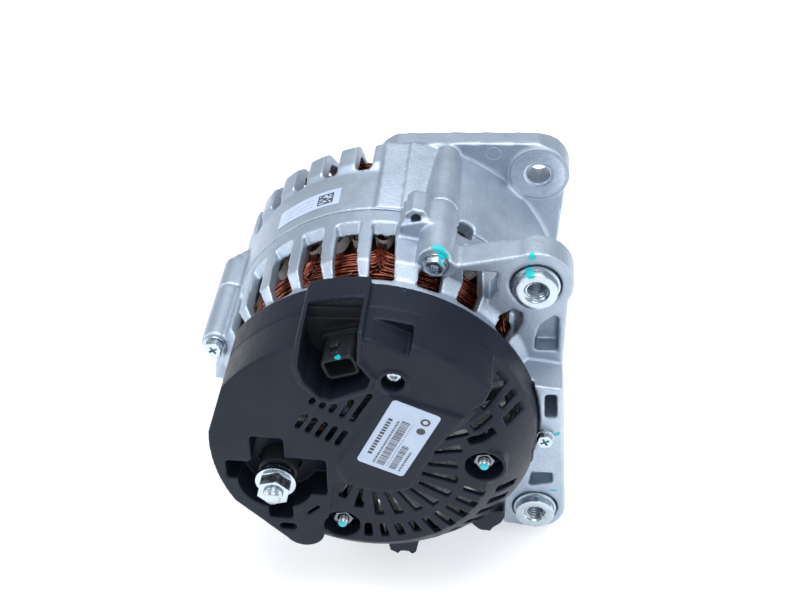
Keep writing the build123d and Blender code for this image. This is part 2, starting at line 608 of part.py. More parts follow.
with BuildPart() as pulley:
    turned([(SHAFT_R + FIT, 106.0), (15.0, 106.0), (15.0, 110.0), (22.0, PULLEY_Y0), (PULLEY_R + 1.8, PULLEY_Y0),
            (PULLEY_R + 1.8, PULLEY_Y1), (23.5, PULLEY_Y1), (23.5, 124.0), (13.5, 122.0), (13.5, 131.0),
            (SHAFT_R + FIT, 131.0)])
    for index in range(GROOVES):
        y = BELT_Y + (index - (GROOVES - 1) / 2) * GROOVE_PITCH
        turned([(PULLEY_R - GROOVE_DEPTH, y - 0.35), (PULLEY_R + 0.2, y - 1.5), (PULLEY_R + 2, y - 1.5),
                (PULLEY_R + 2, y + 1.5), (PULLEY_R + 0.2, y + 1.5), (PULLEY_R - GROOVE_DEPTH, y + 0.35)],
               mode=Mode.SUBTRACT)
    ring(PULLEY_R, PULLEY_R + 3, BELT_Y - 10.2, BELT_Y + 10.2, mode=Mode.SUBTRACT)
write(pulley, "pulley")

with BuildPart() as pulley_spacer:
    ring(SHAFT_R, 13.0, 102.02, 105.98)
write(pulley_spacer, "pulley_spacer")

with BuildPart() as pulley_nut:
    hexagon((0, 0), 24.0, 133.6, 143.0)
    plug((0, 0), 13.0, 132.2, 134.2)
    plug((0, 0), 7.92, 130, 146, mode=Mode.SUBTRACT)
    plug((0, 0), SHAFT_R + FIT, 130, 134.2, mode=Mode.SUBTRACT)
write(pulley_nut, "pulley_nut")

with BuildPart() as pulley_washer:
    ring(SHAFT_R + FIT, 12.5, 131.02, 132.18)
write(pulley_washer, "pulley_washer")


# ---------------------------------------------------------------- rear cover
FACE_ARC = (44.0, 150.0)    # sector where the face runs out to the full radius
SHROUD_R = 75.4
SHROUD_WALL = 1.9
SHROUD_INNER_Y = -20.6      # front end of the shroud's walls, just behind the regulator
LABEL_TURN = 62.6           # direction of the label and of the two slot rows
CUP_WALL = 1.7
FLAT_ANGLE, FLAT_REACH = 163.6, 67.8    # flat of the skirt: its direction and distance from the axis


def face_outline(y, inset=0.0):
    """The flat part of the cover's rear face, drawn in by the inset, as a sketch at this station."""
    reach = COVER_R - 0.9 - inset
    start, end = FACE_ARC
    with BuildSketch(across(y)) as face:
        with BuildLine():
            ThreePointArc(polar(reach, start), polar(reach, 97), polar(reach, end))
            Spline(polar(reach, end), (-67.0 + inset, 10.0), (-64.4 + inset, -14.0), (-58.6 + inset, -28.5 + inset))
            Line((-58.6 + inset, -28.5 + inset), (-36.5 + inset, -51.3 + inset))
            ThreePointArc((-36.5 + inset, -51.3 + inset), (-26.5, -55.4 + inset), (-19.6 - inset, -47.0))
            Polyline((-19.6 - inset, -47.0), (-18.0 - inset, -40.0), (-14.0, -12.0), (5.0, -15.0 + inset),
                     (20.5 - inset, -10.5 + inset), (30.4 - inset, 15.0), (47.0 - inset, 37.4),
                     polar(reach, start))
        make_face()
    return face.sketch


def shroud_outline(y, inset, reach):
    """The box round the connector, open towards the top, cut off at the reach."""
    with BuildSketch(across(y)) as shroud:
        with BuildLine():
            Polyline((-24.8, 82), (-28.5, 55.2), (-26.1, 46.1), (-19.1, 37.2), (-14.3, 36.0), (2.2, 44.2),
                     (4.7, 51.0), (-1.1, 59.7), (0.2, 82), close=True)
        make_face()
        if inset:
            offset(amount=-inset, kind=Kind.INTERSECTION)
        Circle(reach, mode=Mode.INTERSECT)
    return shroud.sketch


def bay_outline(y, grow=0.0):
    """The recess round the output stud: a round pocket with a wider bay on each side for its cap."""
    x, z = B_PLUS
    bays = [((x - 2.45, z + 16.25), (14.5, 22.5)), ((x + 13.65, z + 5.0), (17.7, 22.0)),
            ((x - 13.2, z + 6.5), (16.0, 11.0)), ((x + 1.3, z - 14.0), (11.0, 18.0))]
    with BuildSketch(across(y)) as bay:
        with Locations(B_PLUS):
            Circle(16.5 + grow)
        for centre, (width, height) in bays:
            with Locations(centre):
                RectangleRounded(width + 2 * grow, height + 2 * grow, 2)
    return bay.sketch


def dome(inset=0.0):
    """Half section of the domed part: flat grille, rolled shoulder, straight skirt."""
    with BuildSketch(Plane.XY) as half:
        with BuildLine():
            Line((0, GRILLE_Y + inset), (52 - inset / 2, GRILLE_Y + inset))
            ThreePointArc((52 - inset / 2, GRILLE_Y + inset), (62.0 - inset * 0.6, -34.0 + inset * 0.8),
                          (71.2 - inset, COVER_SHOULDER_Y))
            Polyline((71.2 - inset, COVER_SHOULDER_Y), (COVER_R - inset, END_WALL_Y - 0.1),
                     (0, END_WALL_Y - 0.1), (0, GRILLE_Y + inset))
        make_face()
    return half.sketch


def cover_shell():
    revolve(dome(), axis=Axis.Y)
    extrude(face_outline(END_WALL_Y - 0.1), amount=END_WALL_Y - 0.1 - FACE_Y)
    # the shroud round the connector stands proud of skirt and face
    extrude(shroud_outline(END_WALL_Y - 0.1, 0.0, SHROUD_R), amount=END_WALL_Y - 0.1 - FACE_Y + 1.3)
    # two hooks for the wiring, on the lower edge
    slab([(7.8, -58), (8.7, -67), (12.4, -69.4), (13.8, -67.4), (17.4, -67.0), (18.6, -69.0), (20.8, -67.8),
          (22.5, -57)], -33.0, -10.0)
    slab([(44, -40), (46.3, -49.1), (49.2, -51.9), (54, -52.5), (55.3, -50.2), (58.6, -46.7), (60.4, -42.3),
          (59.6, -38.2)], -30.0, -10.0)


def cover_hollow():
    revolve(dome(COVER_WALL), axis=Axis.Y, mode=Mode.SUBTRACT)
    extrude(face_outline(END_WALL_Y, COVER_WALL), amount=END_WALL_Y - FACE_Y - COVER_WALL,
            mode=Mode.SUBTRACT)


def flat_side():
    """The flat on the skirt that clears the boss of bolt b."""
    slab(spun([(FLAT_REACH, -30), (80, -30), (80, 30), (FLAT_REACH, 30)], FLAT_ANGLE), FACE_Y - 2, 0.0,
         mode=Mode.SUBTRACT)
    slab(spun([(FLAT_REACH - COVER_WALL, -22.5), (FLAT_REACH, -22.5), (FLAT_REACH, 22.5),
               (FLAT_REACH - COVER_WALL, 22.5)], FLAT_ANGLE), COVER_SHOULDER_Y - 1, END_WALL_Y - 0.1)


def plateau():
    """The raised field under the label."""
    with BuildSketch(across(FACE_Y + 1.0)) as field:
        with BuildLine():
            Line(polar(43.6, 77), (-11.0, 2.6))
            ThreePointArc((-11.0, 2.6), (-10.0, -8.6), (0.0, -14.0))
            Spline((0.0, -14.0), (9.0, -15.0), (19.2, -11.4))
            Polyline((19.2, -11.4), (30.0, 15.0), (40.5, 32.5), polar(43.6, 77))
        make_face()
    extrude(field.sketch, amount=FACE_Y + 1.0 - PLATEAU_Y)


def radial_slot(angle, near, far, near_half, far_half, y0, y1):
    """A slot along a radius, cut through the cover between two stations."""
    slab(spun([(near, -near_half), (far, -far_half), (far, far_half), (near, near_half)], angle), y0, y1,
         mode=Mode.SUBTRACT)


def grille():
    """Radial slots of the grille, its outer ring, and the windows in the rolled shoulder."""
    for angle, near, far in ((-116, 15.5, 26.0), (-98, 17.0, 29.5), (-81, 18.0, 33.5), (-66, 18.0, 34.5),
                             (-51, 20.5, 36.0), (-38, 23.0, 38.0), (-25, 24.5, 39.5), (-11, 24.0, 39.5),
                             (3, 26.0, 38.5), (17, 29.5, 41.5), (28, 36.5, 47.5)):
        radial_slot(angle, near, far, 0.8, 2.1, PLATEAU_Y - 1, GRILLE_Y + COVER_WALL + 0.2)
    for index in range(9):
        angle, near = -90 + index * 9.2, 39.2 + index * 0.5
        radial_slot(angle, near, 48.0 if index < 4 else 52.5, 1.4, 1.9, GRILLE_Y - 2.5, GRILLE_Y + 7.0)
    for angle, near, far, half in ((36.5, 57.0, 69.5, 3.6), (28.5, 62.0, 69.0, 1.9), (21.5, 61.0, 70.0, 2.6),
                                   (29.5, 50.0, 58.5, 2.0), (21.5, 45.5, 57.0, 2.2)):
        radial_slot(angle, near, far, half, half, GRILLE_Y - 2, -26.0)
    for index in range(6):
        radial_slot(-16 - index * 8.5, 57.5, 66.0, 2.3, 2.3, GRILLE_Y, -25.6)


def slot_rows():
    """Two rows of slanted slots between the shroud and the output stud."""
    along_slot = polar(1.0, LABEL_TURN)
    along_row = (along_slot[1], -along_slot[0])
    upper = [(-35.6, 19.8, 22.5), (-31.0, 19.8, 22.5), (-26.6, 19.8, 24.0), (-21.7, 19.8, 30.0),
             (-16.9, 19.8, 37.0)]
    lower = [(-34.6 + index * 4.6, 3.8, 12.6) for index in range(5)]
    for place, near, far in upper + lower:
        ends = [(along_slot[0] * reach + along_row[0] * place, along_slot[1] * reach + along_row[1] * place)
                for reach in (near + 1.2, far)]
        rounded_slot(*ends, 2.4, FACE_Y - 1, FACE_Y + COVER_WALL + 1)


with BuildPart() as rear_cover:
    cover_shell()
    cover_hollow()
    flat_side()
    # inner walls: connector shroud, nut cups, stud recess, backing of the notch
    extrude(shroud_outline(SHROUD_INNER_Y, 0.0, 70.5), amount=SHROUD_INNER_Y - FACE_Y - 0.5)
    for at in CUPS:
        plug(at, CUP_R + CUP_WALL, GRILLE_Y, CUP_FLOOR_Y + 2.0)
    plug(SMALL_CUP, SMALL_CUP_R + CUP_WALL, FACE_Y - 0.6, SMALL_CUP_FLOOR_Y + 2.0)
    extrude(bay_outline(BAY_FLOOR_Y + 2.0, 2.0) & face_outline(BAY_FLOOR_Y + 2.0, 0.5),
            amount=BAY_FLOOR_Y + 1.5 - FACE_Y)
    slab([(0.5, 70.2), (0.5, 68.0), (18.0, 60.6), (21.5, 61.5), (22.5, 67.5), (17.7, 69.0)], -41.5, -25.0)
    with BuildSketch(across(END_WALL_Y - 0.1)) as relief:
        with Locations(bolt_at("c")):
            Circle(7.9)
        Circle(COVER_R - 0.3, mode=Mode.INTERSECT)
    extrude(relief.sketch, amount=14.0)
    plug(bolt_at("c"), 5.9, -40.0, END_WALL_Y, mode=Mode.SUBTRACT)
    plateau()
    for at in CUPS:
        plug(at, CUP_R, FACE_Y - 1, CUP_FLOOR_Y, mode=Mode.SUBTRACT)
        plug(at, 2.7, FACE_Y, -20.0, mode=Mode.SUBTRACT)
    plug(SMALL_CUP, SMALL_CUP_R, FACE_Y - 1, SMALL_CUP_FLOOR_Y, mode=Mode.SUBTRACT)
    plug(SMALL_CUP, 2.2, FACE_Y, SMALL_CUP_FLOOR_Y + 3.0, mode=Mode.SUBTRACT)
    grille()
    slot_rows()
    # notch beside the shroud
    slab([(2.6, 75.5), (2.6, 70.9), (17.7, 63.6), (20.4, 75.5)], -46.0, -30.0, mode=Mode.SUBTRACT)
    # the connector's pocket, open to the rear and to the top, with a closed roof further in
    extrude(shroud_outline(-22.5, SHROUD_WALL, 90.0), amount=28.0, mode=Mode.SUBTRACT)
    extrude(shroud_outline(-8.0, SHROUD_WALL, SHROUD_R - 2.0), amount=28.0, mode=Mode.SUBTRACT)
    # recess round the output stud
    extrude(bay_outline(BAY_FLOOR_Y), amount=18.0, mode=Mode.SUBTRACT)
    plug(B_PLUS, 9.3, FACE_Y, -20.0, mode=Mode.SUBTRACT)
    # two openings beside the lower nut cup
    rounded_slot((-37.5, -43.4), (-34.0, -43.4), 4.2, FACE_Y - 1, -38.0)
    rounded_slot((-26.0, -33.5), (-21.5, -29.0), 1.6, FACE_Y - 1, -38.0)
    # injection point
    with BuildSketch(across(PLATEAU_Y + 0.3)) as mark:
        with Locations((-1.1, -7.2)):
            Circle(1.6)
            Circle(1.0, mode=Mode.SUBTRACT)
    extrude(mark.sketch, amount=1.0, mode=Mode.SUBTRACT)
write(rear_cover, "rear_cover")


# ---------------------------------------------------------------- cover fixings
NUT_FLANGE_R, NUT_FLATS = 6.2, 8.0

with BuildPart() as cover_studs:
    for at in CUPS:
        plug(at, BOLT_R - 0.02, STUD_TIP_Y, END_WALL_Y + END_WALL)
write(cover_studs, "cover_studs")

with BuildPart() as cover_nuts:
    for at in CUPS:
        plug(at, NUT_FLANGE_R, CUP_FLOOR_Y - 1.3, CUP_FLOOR_Y - 0.02)
        hexagon(at, NUT_FLATS, CUP_FLOOR_Y - 5.8, CUP_FLOOR_Y - 1.0, turn=10.0)
        plug(at, BOLT_R, CUP_FLOOR_Y - 7, CUP_FLOOR_Y + 1, mode=Mode.SUBTRACT)
write(cover_nuts, "cover_nuts")

with BuildPart() as cover_screw:
    plug(SMALL_CUP, 2.9, SMALL_CUP_FLOOR_Y - 2.4, SMALL_CUP_FLOOR_Y - 0.02)
    plug(SMALL_CUP, 2.0, SMALL_CUP_FLOOR_Y - 0.1, -16.0)
    hexagon(SMALL_CUP, 3.0, SMALL_CUP_FLOOR_Y - 3, SMALL_CUP_FLOOR_Y - 1.0, mode=Mode.SUBTRACT)
write(cover_screw, "cover_screw")


# ---------------------------------------------------------------- rectifier
C_START, C_SPAN = 22.0, 208.0       # the rectifier plates are a C open at the top, clockwise from 22 deg
PLUS_PLATE_Y = (-23.0, -20.0)
MINUS_PLATE_Y = (-12.6, END_WALL_Y - 0.02)
TERMINAL_Y = (-19.8, -14.6)
STRIP_Y = (-17.2, -16.2)
DIODE_R, DIODE_PITCH_R = 6.35, 52.0
PLUS_DIODES = [polar(DIODE_PITCH_R, angle) for angle in (226, 282, 322)]
MINUS_DIODES = [polar(DIODE_PITCH_R, angle) for angle in (240, 300, 340)]


BLADES, BLADE_START, BLADE_PITCH = 20, 12.0, 6.7
BLADE_IN_R, BLADE_OUT_R, SHORT_BLADE_R = (29.0, 23.0), 53.0, 31.0
BLADE_HALF, BLADE_Y0 = 0.5, -36.6
CUP_SECTORS = [(degrees(atan2(z, x)), 19.0) for x, z in CUPS]   # where a blade is cut short


def c_plate(radius_in, radius_out, y0, y1):
    turned([(radius_in, y0), (radius_out, y0), (radius_out, y1), (radius_in, y1)], arc=C_SPAN, start=C_START)


with BuildPart() as positive_heatsink:
    c_plate(27.0, 61.0, *PLUS_PLATE_Y)
    # upright cooling blades behind the grille, clear of the nut recesses
    for index in range(BLADES):
        angle = BLADE_START - index * BLADE_PITCH
        near = BLADE_IN_R[index % 2]
        far = SHORT_BLADE_R if is_plain(angle, CUP_SECTORS) else BLADE_OUT_R
        blade = [(near, -BLADE_HALF), (far, -BLADE_HALF), (far, BLADE_HALF), (near, BLADE_HALF)]
        slab(spun(blade, angle), BLADE_Y0, PLUS_PLATE_Y[1])
    for at in CUPS:
        plug(at, 5.0, -26, -19, mode=Mode.SUBTRACT)
    for at in RECTIFIER_SCREWS:
        plug(at, 4.0, -26, -19, mode=Mode.SUBTRACT)
    for at in PLUS_DIODES:
        plug(at, DIODE_R + 0.01, -26, -19, mode=Mode.SUBTRACT)
    plug(B_PLUS, 4.02, -26, -19, mode=Mode.SUBTRACT)
write(positive_heatsink, "positive_heatsink")

with BuildPart() as negative_heatsink:
    c_plate(40.0, 62.0, *MINUS_PLATE_Y)
    for at in CUPS + RECTIFIER_SCREWS:
        plug(at, 2.7, -14, -8, mode=Mode.SUBTRACT)
    for at in MINUS_DIODES:
        plug(at, DIODE_R + 0.01, -14, -8, mode=Mode.SUBTRACT)
    for angle in PHASE_ANGLES:
        plug(polar(PHASE_R, angle), 2.2, -14, -8, mode=Mode.SUBTRACT)
write(negative_heatsink, "negative_heatsink")

with BuildPart() as rectifier_terminal_ring:
    c_plate(36.0, 60.5, *TERMINAL_Y)
    # spacing collars round the studs and screws, between the two plates
    for at in CUPS + RECTIFIER_SCREWS:
        plug(at, 4.6, TERMINAL_Y[0], MINUS_PLATE_Y[0] - 0.02)
    for at in CUPS + RECTIFIER_SCREWS:
        plug(at, 2.7, -26, -12, mode=Mode.SUBTRACT)
    for plus, minus in zip(PLUS_DIODES, MINUS_DIODES):
        rounded_slot(plus, minus, 15.0, -21, -13)
    plug(B_PLUS, 7.6, -21, -13, mode=Mode.SUBTRACT)
write(rectifier_terminal_ring, "rectifier_terminal_ring")

with BuildPart() as rectifier_diodes:
    for at in PLUS_DIODES:
        plug(at, DIODE_R, -25.5, PLUS_PLATE_Y[1])
        plug(at, 0.7, PLUS_PLATE_Y[1] - 1, STRIP_Y[1] + 0.4)
    for at in MINUS_DIODES:
        plug(at, DIODE_R, -14.2, END_WALL_Y - 0.1)
        plug(at, 0.7, STRIP_Y[0] - 0.4, -13.0)
write(rectifier_diodes, "rectifier_diodes")

with BuildPart() as rectifier_leads:
    for plus, minus, angle in zip(PLUS_DIODES, MINUS_DIODES, PHASE_ANGLES):
        middle = ((plus[0] + minus[0]) / 2, (plus[1] + minus[1]) / 2)
        rounded_slot(plus, minus, 4.0, *STRIP_Y, mode=Mode.ADD)
        rounded_slot(middle, polar(PHASE_R, angle), 4.0, *STRIP_Y, mode=Mode.ADD)
        for at, radius in ((plus, 0.72), (minus, 0.72), (polar(PHASE_R, angle), 1.12)):
            plug(at, radius, -18, -15, mode=Mode.SUBTRACT)
write(rectifier_leads, "rectifier_leads")

with BuildPart() as rectifier_screws:
    for at in RECTIFIER_SCREWS:
        plug(at, 3.8, -22.4, TERMINAL_Y[0] - 0.02)
        plug(at, 1.98, -20.0, END_WALL_Y + END_WALL)
        hexagon(at, 3.0, -23, -21.0, mode=Mode.SUBTRACT)
write(rectifier_screws, "rectifier_screws")

with BuildPart() as phase_leads:
    for angle in PHASE_ANGLES:
        plug(polar(PHASE_R, angle), 1.1, STRIP_Y[0] - 0.4, REAR_TURNS_Y[0] - 0.02)
write(phase_leads, "phase_leads")


# ---------------------------------------------------------------- output stud
STUD_CORE_R = 3.75                  # inside the nut, where the thread is engaged
STUD_FREE_Y = B_PLUS_SEAT_Y - 8.0   # just outside the nut

with BuildPart() as b_plus_stud:
    plug(B_PLUS, 4.0, B_PLUS_TIP_Y, STUD_FREE_Y)
    plug(B_PLUS, STUD_CORE_R, STUD_FREE_Y, -17.0)
    plug(B_PLUS, 6.5, PLUS_PLATE_Y[1] + 0.02, -16.6)
    chamfer(b_plus_stud.faces().sort_by(Axis.Y)[0].edges(), 0.9)
write(b_plus_stud, "b_plus_stud")

WASHER_BACK_Y = -37.0


def ring_groove(at, radius_in, radius_out, y0, y1):
    """A shallow groove round a plug."""
    with BuildSketch(across(y1)) as profile:
        with Locations(at):
            Circle(radius_out)
            Circle(radius_in, mode=Mode.SUBTRACT)
    extrude(profile.sketch, amount=y1 - y0, mode=Mode.SUBTRACT)


with BuildPart() as b_plus_insulator:
    plug(B_PLUS, 8.6, WASHER_BACK_Y, PLUS_PLATE_Y[0] - 0.02)
    plug(B_PLUS, 4.05, -40, -20, mode=Mode.SUBTRACT)
write(b_plus_insulator, "b_plus_insulator")

with BuildPart() as b_plus_washer:
    plug(B_PLUS, 7.65, B_PLUS_SEAT_Y + 0.02, WASHER_BACK_Y - 0.02)
    ring_groove(B_PLUS, 6.9, 7.7, -40.6, -39.9)
    plug(B_PLUS, 4.05, -45, -35, mode=Mode.SUBTRACT)
write(b_plus_washer, "b_plus_washer")

with BuildPart() as b_plus_nut:
    plug(B_PLUS, 8.95, B_PLUS_SEAT_Y - 1.8, B_PLUS_SEAT_Y)
    hexagon(B_PLUS, 13.0, B_PLUS_SEAT_Y - 7.9, B_PLUS_SEAT_Y - 1.2, turn=18.0)
    plug(B_PLUS, 4.02, -52, -40, mode=Mode.SUBTRACT)
write(b_plus_nut, "b_plus_nut")


# ---------------------------------------------------------------- regulator, connector and brushes
BRUSH_W, BRUSH_T = 5.6, 4.6         # brush size along the shaft and across it
BRUSH_TOP_Z = 22.0
CHIMNEY_TOP_Z = 34.0
SPRING_TOP_Z = CHIMNEY_TOP_Z - 2.2
CONNECTOR_PLANE = Plane(origin=(CONNECTOR_AT[0], CONNECTOR_BACK_Y, CONNECTOR_AT[1]),
                        x_dir=(cos(radians(CONNECTOR_TILT)), 0, sin(radians(CONNECTOR_TILT))), z_dir=(0, -1, 0))
CONNECTOR_DEPTH = CONNECTOR_BACK_Y - CONNECTOR_MOUTH_Y
PIN_OFFSETS = (-3.0, 3.0)
PIN_SET_BACK = 3.0                  # the pins end well inside the socket

with BuildPart() as regulator_housing:
    slab([(-38, 41), (-35, 50), (-27, 61), (-6, 62), (15, 60), (20, 46), (28, 33), (24, 25), (8, 27), (-8, 22),
          (-19, 22), (-33, 36)], *REGULATOR_Y)
    plug(SMALL_CUP, 4.5, SMALL_CUP_FLOOR_Y + 2.2, REGULATOR_Y[0] + 1)
    # chimney that guides both brushes onto the slip rings
    slab([(-5.5, 9.6), (5.5, 9.6), (5.5, CHIMNEY_TOP_Z), (-5.5, CHIMNEY_TOP_Z)], -36.2, -13.0)
    for y in RING_YS:
        with BuildSketch(Plane.XY.offset(8.0)) as channel:
            with Locations((0, y)):
                Rectangle(BRUSH_T + 0.4, BRUSH_W + 0.4)
        extrude(channel.sketch, amount=SPRING_TOP_Z - 8.0, mode=Mode.SUBTRACT)
    # plug socket with latch noses
    with BuildSketch(CONNECTOR_PLANE.offset(-2.0)) as body:
        RectangleRounded(14.5, 10.5, 2.6)
    extrude(body.sketch, amount=CONNECTOR_DEPTH + 2.0)
    with BuildSketch(CONNECTOR_PLANE) as collar:
        RectangleRounded(17.5, 13.0, 3.0)
    extrude(collar.sketch, amount=4.0)
    for back, length, height in ((8.5, 3.2, 3.0), (3.6, 1.4, 1.8)):
        with BuildSketch(CONNECTOR_PLANE.offset(CONNECTOR_DEPTH - back)) as latch:
            with Locations((-0.6, 4.6 + height / 2)):
                Rectangle(3.4, height)
        extrude(latch.sketch, amount=length)
    with BuildSketch(CONNECTOR_PLANE.offset(3.0)) as socket:
        RectangleRounded(11.7, 7.7, 1.6)
    extrude(socket.sketch, amount=CONNECTOR_DEPTH, mode=Mode.SUBTRACT)
    with BuildSketch(CONNECTOR_PLANE.offset(-4.0)) as pin_holes:
        with Locations(*[(at, 0) for at in PIN_OFFSETS]):
            Rectangle(2.4, 0.84)
    extrude(pin_holes.sketch, amount=10.0, mode=Mode.SUBTRACT)
    plug(SMALL_CUP, 2.02, SMALL_CUP_FLOOR_Y + 1.0, -15.5, mode=Mode.SUBTRACT)
    for at in REGULATOR_SCREWS:
        plug(at, 2.05, -22, -12, mode=Mode.SUBTRACT)
write(regulator_housing, "regulator_housing")

with BuildPart() as connector_pins:
    for at in PIN_OFFSETS:
        with BuildSketch(CONNECTOR_PLANE.offset(-4.0)) as pin:
            with Locations((at, 0)):
                Rectangle(2.36, 0.8)
        extrude(pin.sketch, amount=CONNECTOR_DEPTH - PIN_SET_BACK)
write(connector_pins, "connector_pins")

with BuildPart() as regulator_screws:
    for at in REGULATOR_SCREWS:
        plug(at, 3.6, REGULATOR_Y[0] - 2.2, REGULATOR_Y[0] - 0.02)
        plug(at, 1.98, REGULATOR_Y[0] - 0.1, END_WALL_Y + END_WALL)
        hexagon(at, 3.0, REGULATOR_Y[0] - 3.0, REGULATOR_Y[0] - 1.0, mode=Mode.SUBTRACT)
write(regulator_screws, "regulator_screws")

for sign, y in zip(("positive", "negative"), RING_YS):
    with BuildPart() as brush:
        with BuildSketch(Plane.XY.offset(5.0)) as section:
            with Locations((0, y)):
                Rectangle(BRUSH_T, BRUSH_W)
        extrude(section.sketch, amount=BRUSH_TOP_Z - 5.0)
        plug((0, 0), RING_R + 0.05, -40, -10, mode=Mode.SUBTRACT)
    write(brush, f"brush_{sign}")
    with BuildPart() as spring:
        with BuildLine() as coil:
            Helix(pitch=1.3, height=SPRING_TOP_Z - BRUSH_TOP_Z - 0.9, radius=1.7, center=(0, y, BRUSH_TOP_Z + 0.45))
        with BuildSketch(Plane(origin=coil.line @ 0, z_dir=coil.line % 0)) as wire:
            Circle(0.35)
        sweep(wire.sketch, path=coil.line, is_frenet=True)
    write(spring, f"brush_spring_{sign}")


# ---------------------------------------------------------------- labels
LABEL_AT, LABEL_ANGLE, LABEL_SIZE, LABEL_THICK = (13.7, 18.5), 66.6, (40.0, 21.5), 0.25

with BuildPart() as cover_label:
    with BuildSketch(across(PLATEAU_Y - 0.02)) as sticker:
        with Locations(Location((*LABEL_AT, 0), (0, 0, LABEL_ANGLE))):
            RectangleRounded(*LABEL_SIZE, 1.8)
    extrude(sticker.sketch, amount=LABEL_THICK)
write(cover_label, "cover_label")

with BuildPart() as housing_label:
    turned([(HOUSING_R + 0.02, 49), (HOUSING_R + LABEL_THICK, 49), (HOUSING_R + LABEL_THICK, 61),
            (HOUSING_R + 0.02, 61)], arc=26.5, start=134.0)
write(housing_label, "housing_label")
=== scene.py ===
"""Looks of the car alternator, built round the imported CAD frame.

Every piece is in metres, in the frame of the CAD: the rotor axis is Y, +Y leaves the drive end,
+Z is up. Shapes are written in millimetres and scaled by MM. Lamps and camera are in metres.
"""

import json
import math
import random

import bmesh
import bpy
import numpy as np
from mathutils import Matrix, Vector


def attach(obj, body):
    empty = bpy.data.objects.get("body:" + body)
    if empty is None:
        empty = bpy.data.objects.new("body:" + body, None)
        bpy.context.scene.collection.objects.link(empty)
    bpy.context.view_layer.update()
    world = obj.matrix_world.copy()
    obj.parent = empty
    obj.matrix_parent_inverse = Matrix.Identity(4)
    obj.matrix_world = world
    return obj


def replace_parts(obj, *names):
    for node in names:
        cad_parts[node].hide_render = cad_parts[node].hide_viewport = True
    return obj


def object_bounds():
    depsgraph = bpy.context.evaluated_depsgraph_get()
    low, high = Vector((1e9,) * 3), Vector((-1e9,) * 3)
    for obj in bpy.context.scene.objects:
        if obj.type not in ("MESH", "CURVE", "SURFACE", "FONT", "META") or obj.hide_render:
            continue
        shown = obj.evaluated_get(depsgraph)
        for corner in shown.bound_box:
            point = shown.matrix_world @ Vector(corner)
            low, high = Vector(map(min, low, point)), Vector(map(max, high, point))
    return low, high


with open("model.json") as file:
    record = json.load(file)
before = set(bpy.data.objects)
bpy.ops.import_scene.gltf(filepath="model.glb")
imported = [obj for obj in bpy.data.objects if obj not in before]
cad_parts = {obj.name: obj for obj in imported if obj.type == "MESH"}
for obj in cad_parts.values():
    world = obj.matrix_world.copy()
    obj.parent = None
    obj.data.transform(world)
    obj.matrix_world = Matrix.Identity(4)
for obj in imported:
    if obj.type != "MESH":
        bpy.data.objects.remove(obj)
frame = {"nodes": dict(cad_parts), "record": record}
cad_box = [list(corner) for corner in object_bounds()]
NODES = frame["nodes"]
MM = 0.001
scene = bpy.context.scene

# places in millimetres, (x, z) on an axis parallel to the shaft unless a y is given
UPPER_EYE, LOWER_EYE = (66.7, 64.1), (75.3, -73.3)
LOWER_CUP, RIGHT_CUP = (-11.6, -41.2), (49.6, 2.0)
OUTPUT_STUD = (-39.8, -15.0)
DRUM_R, PARTING_Y = 72.0, 42.0
EYE_FACE_Y, PLATE_FACE_Y = 86.52, 87.98
STUD_TIP_Y = -41.8


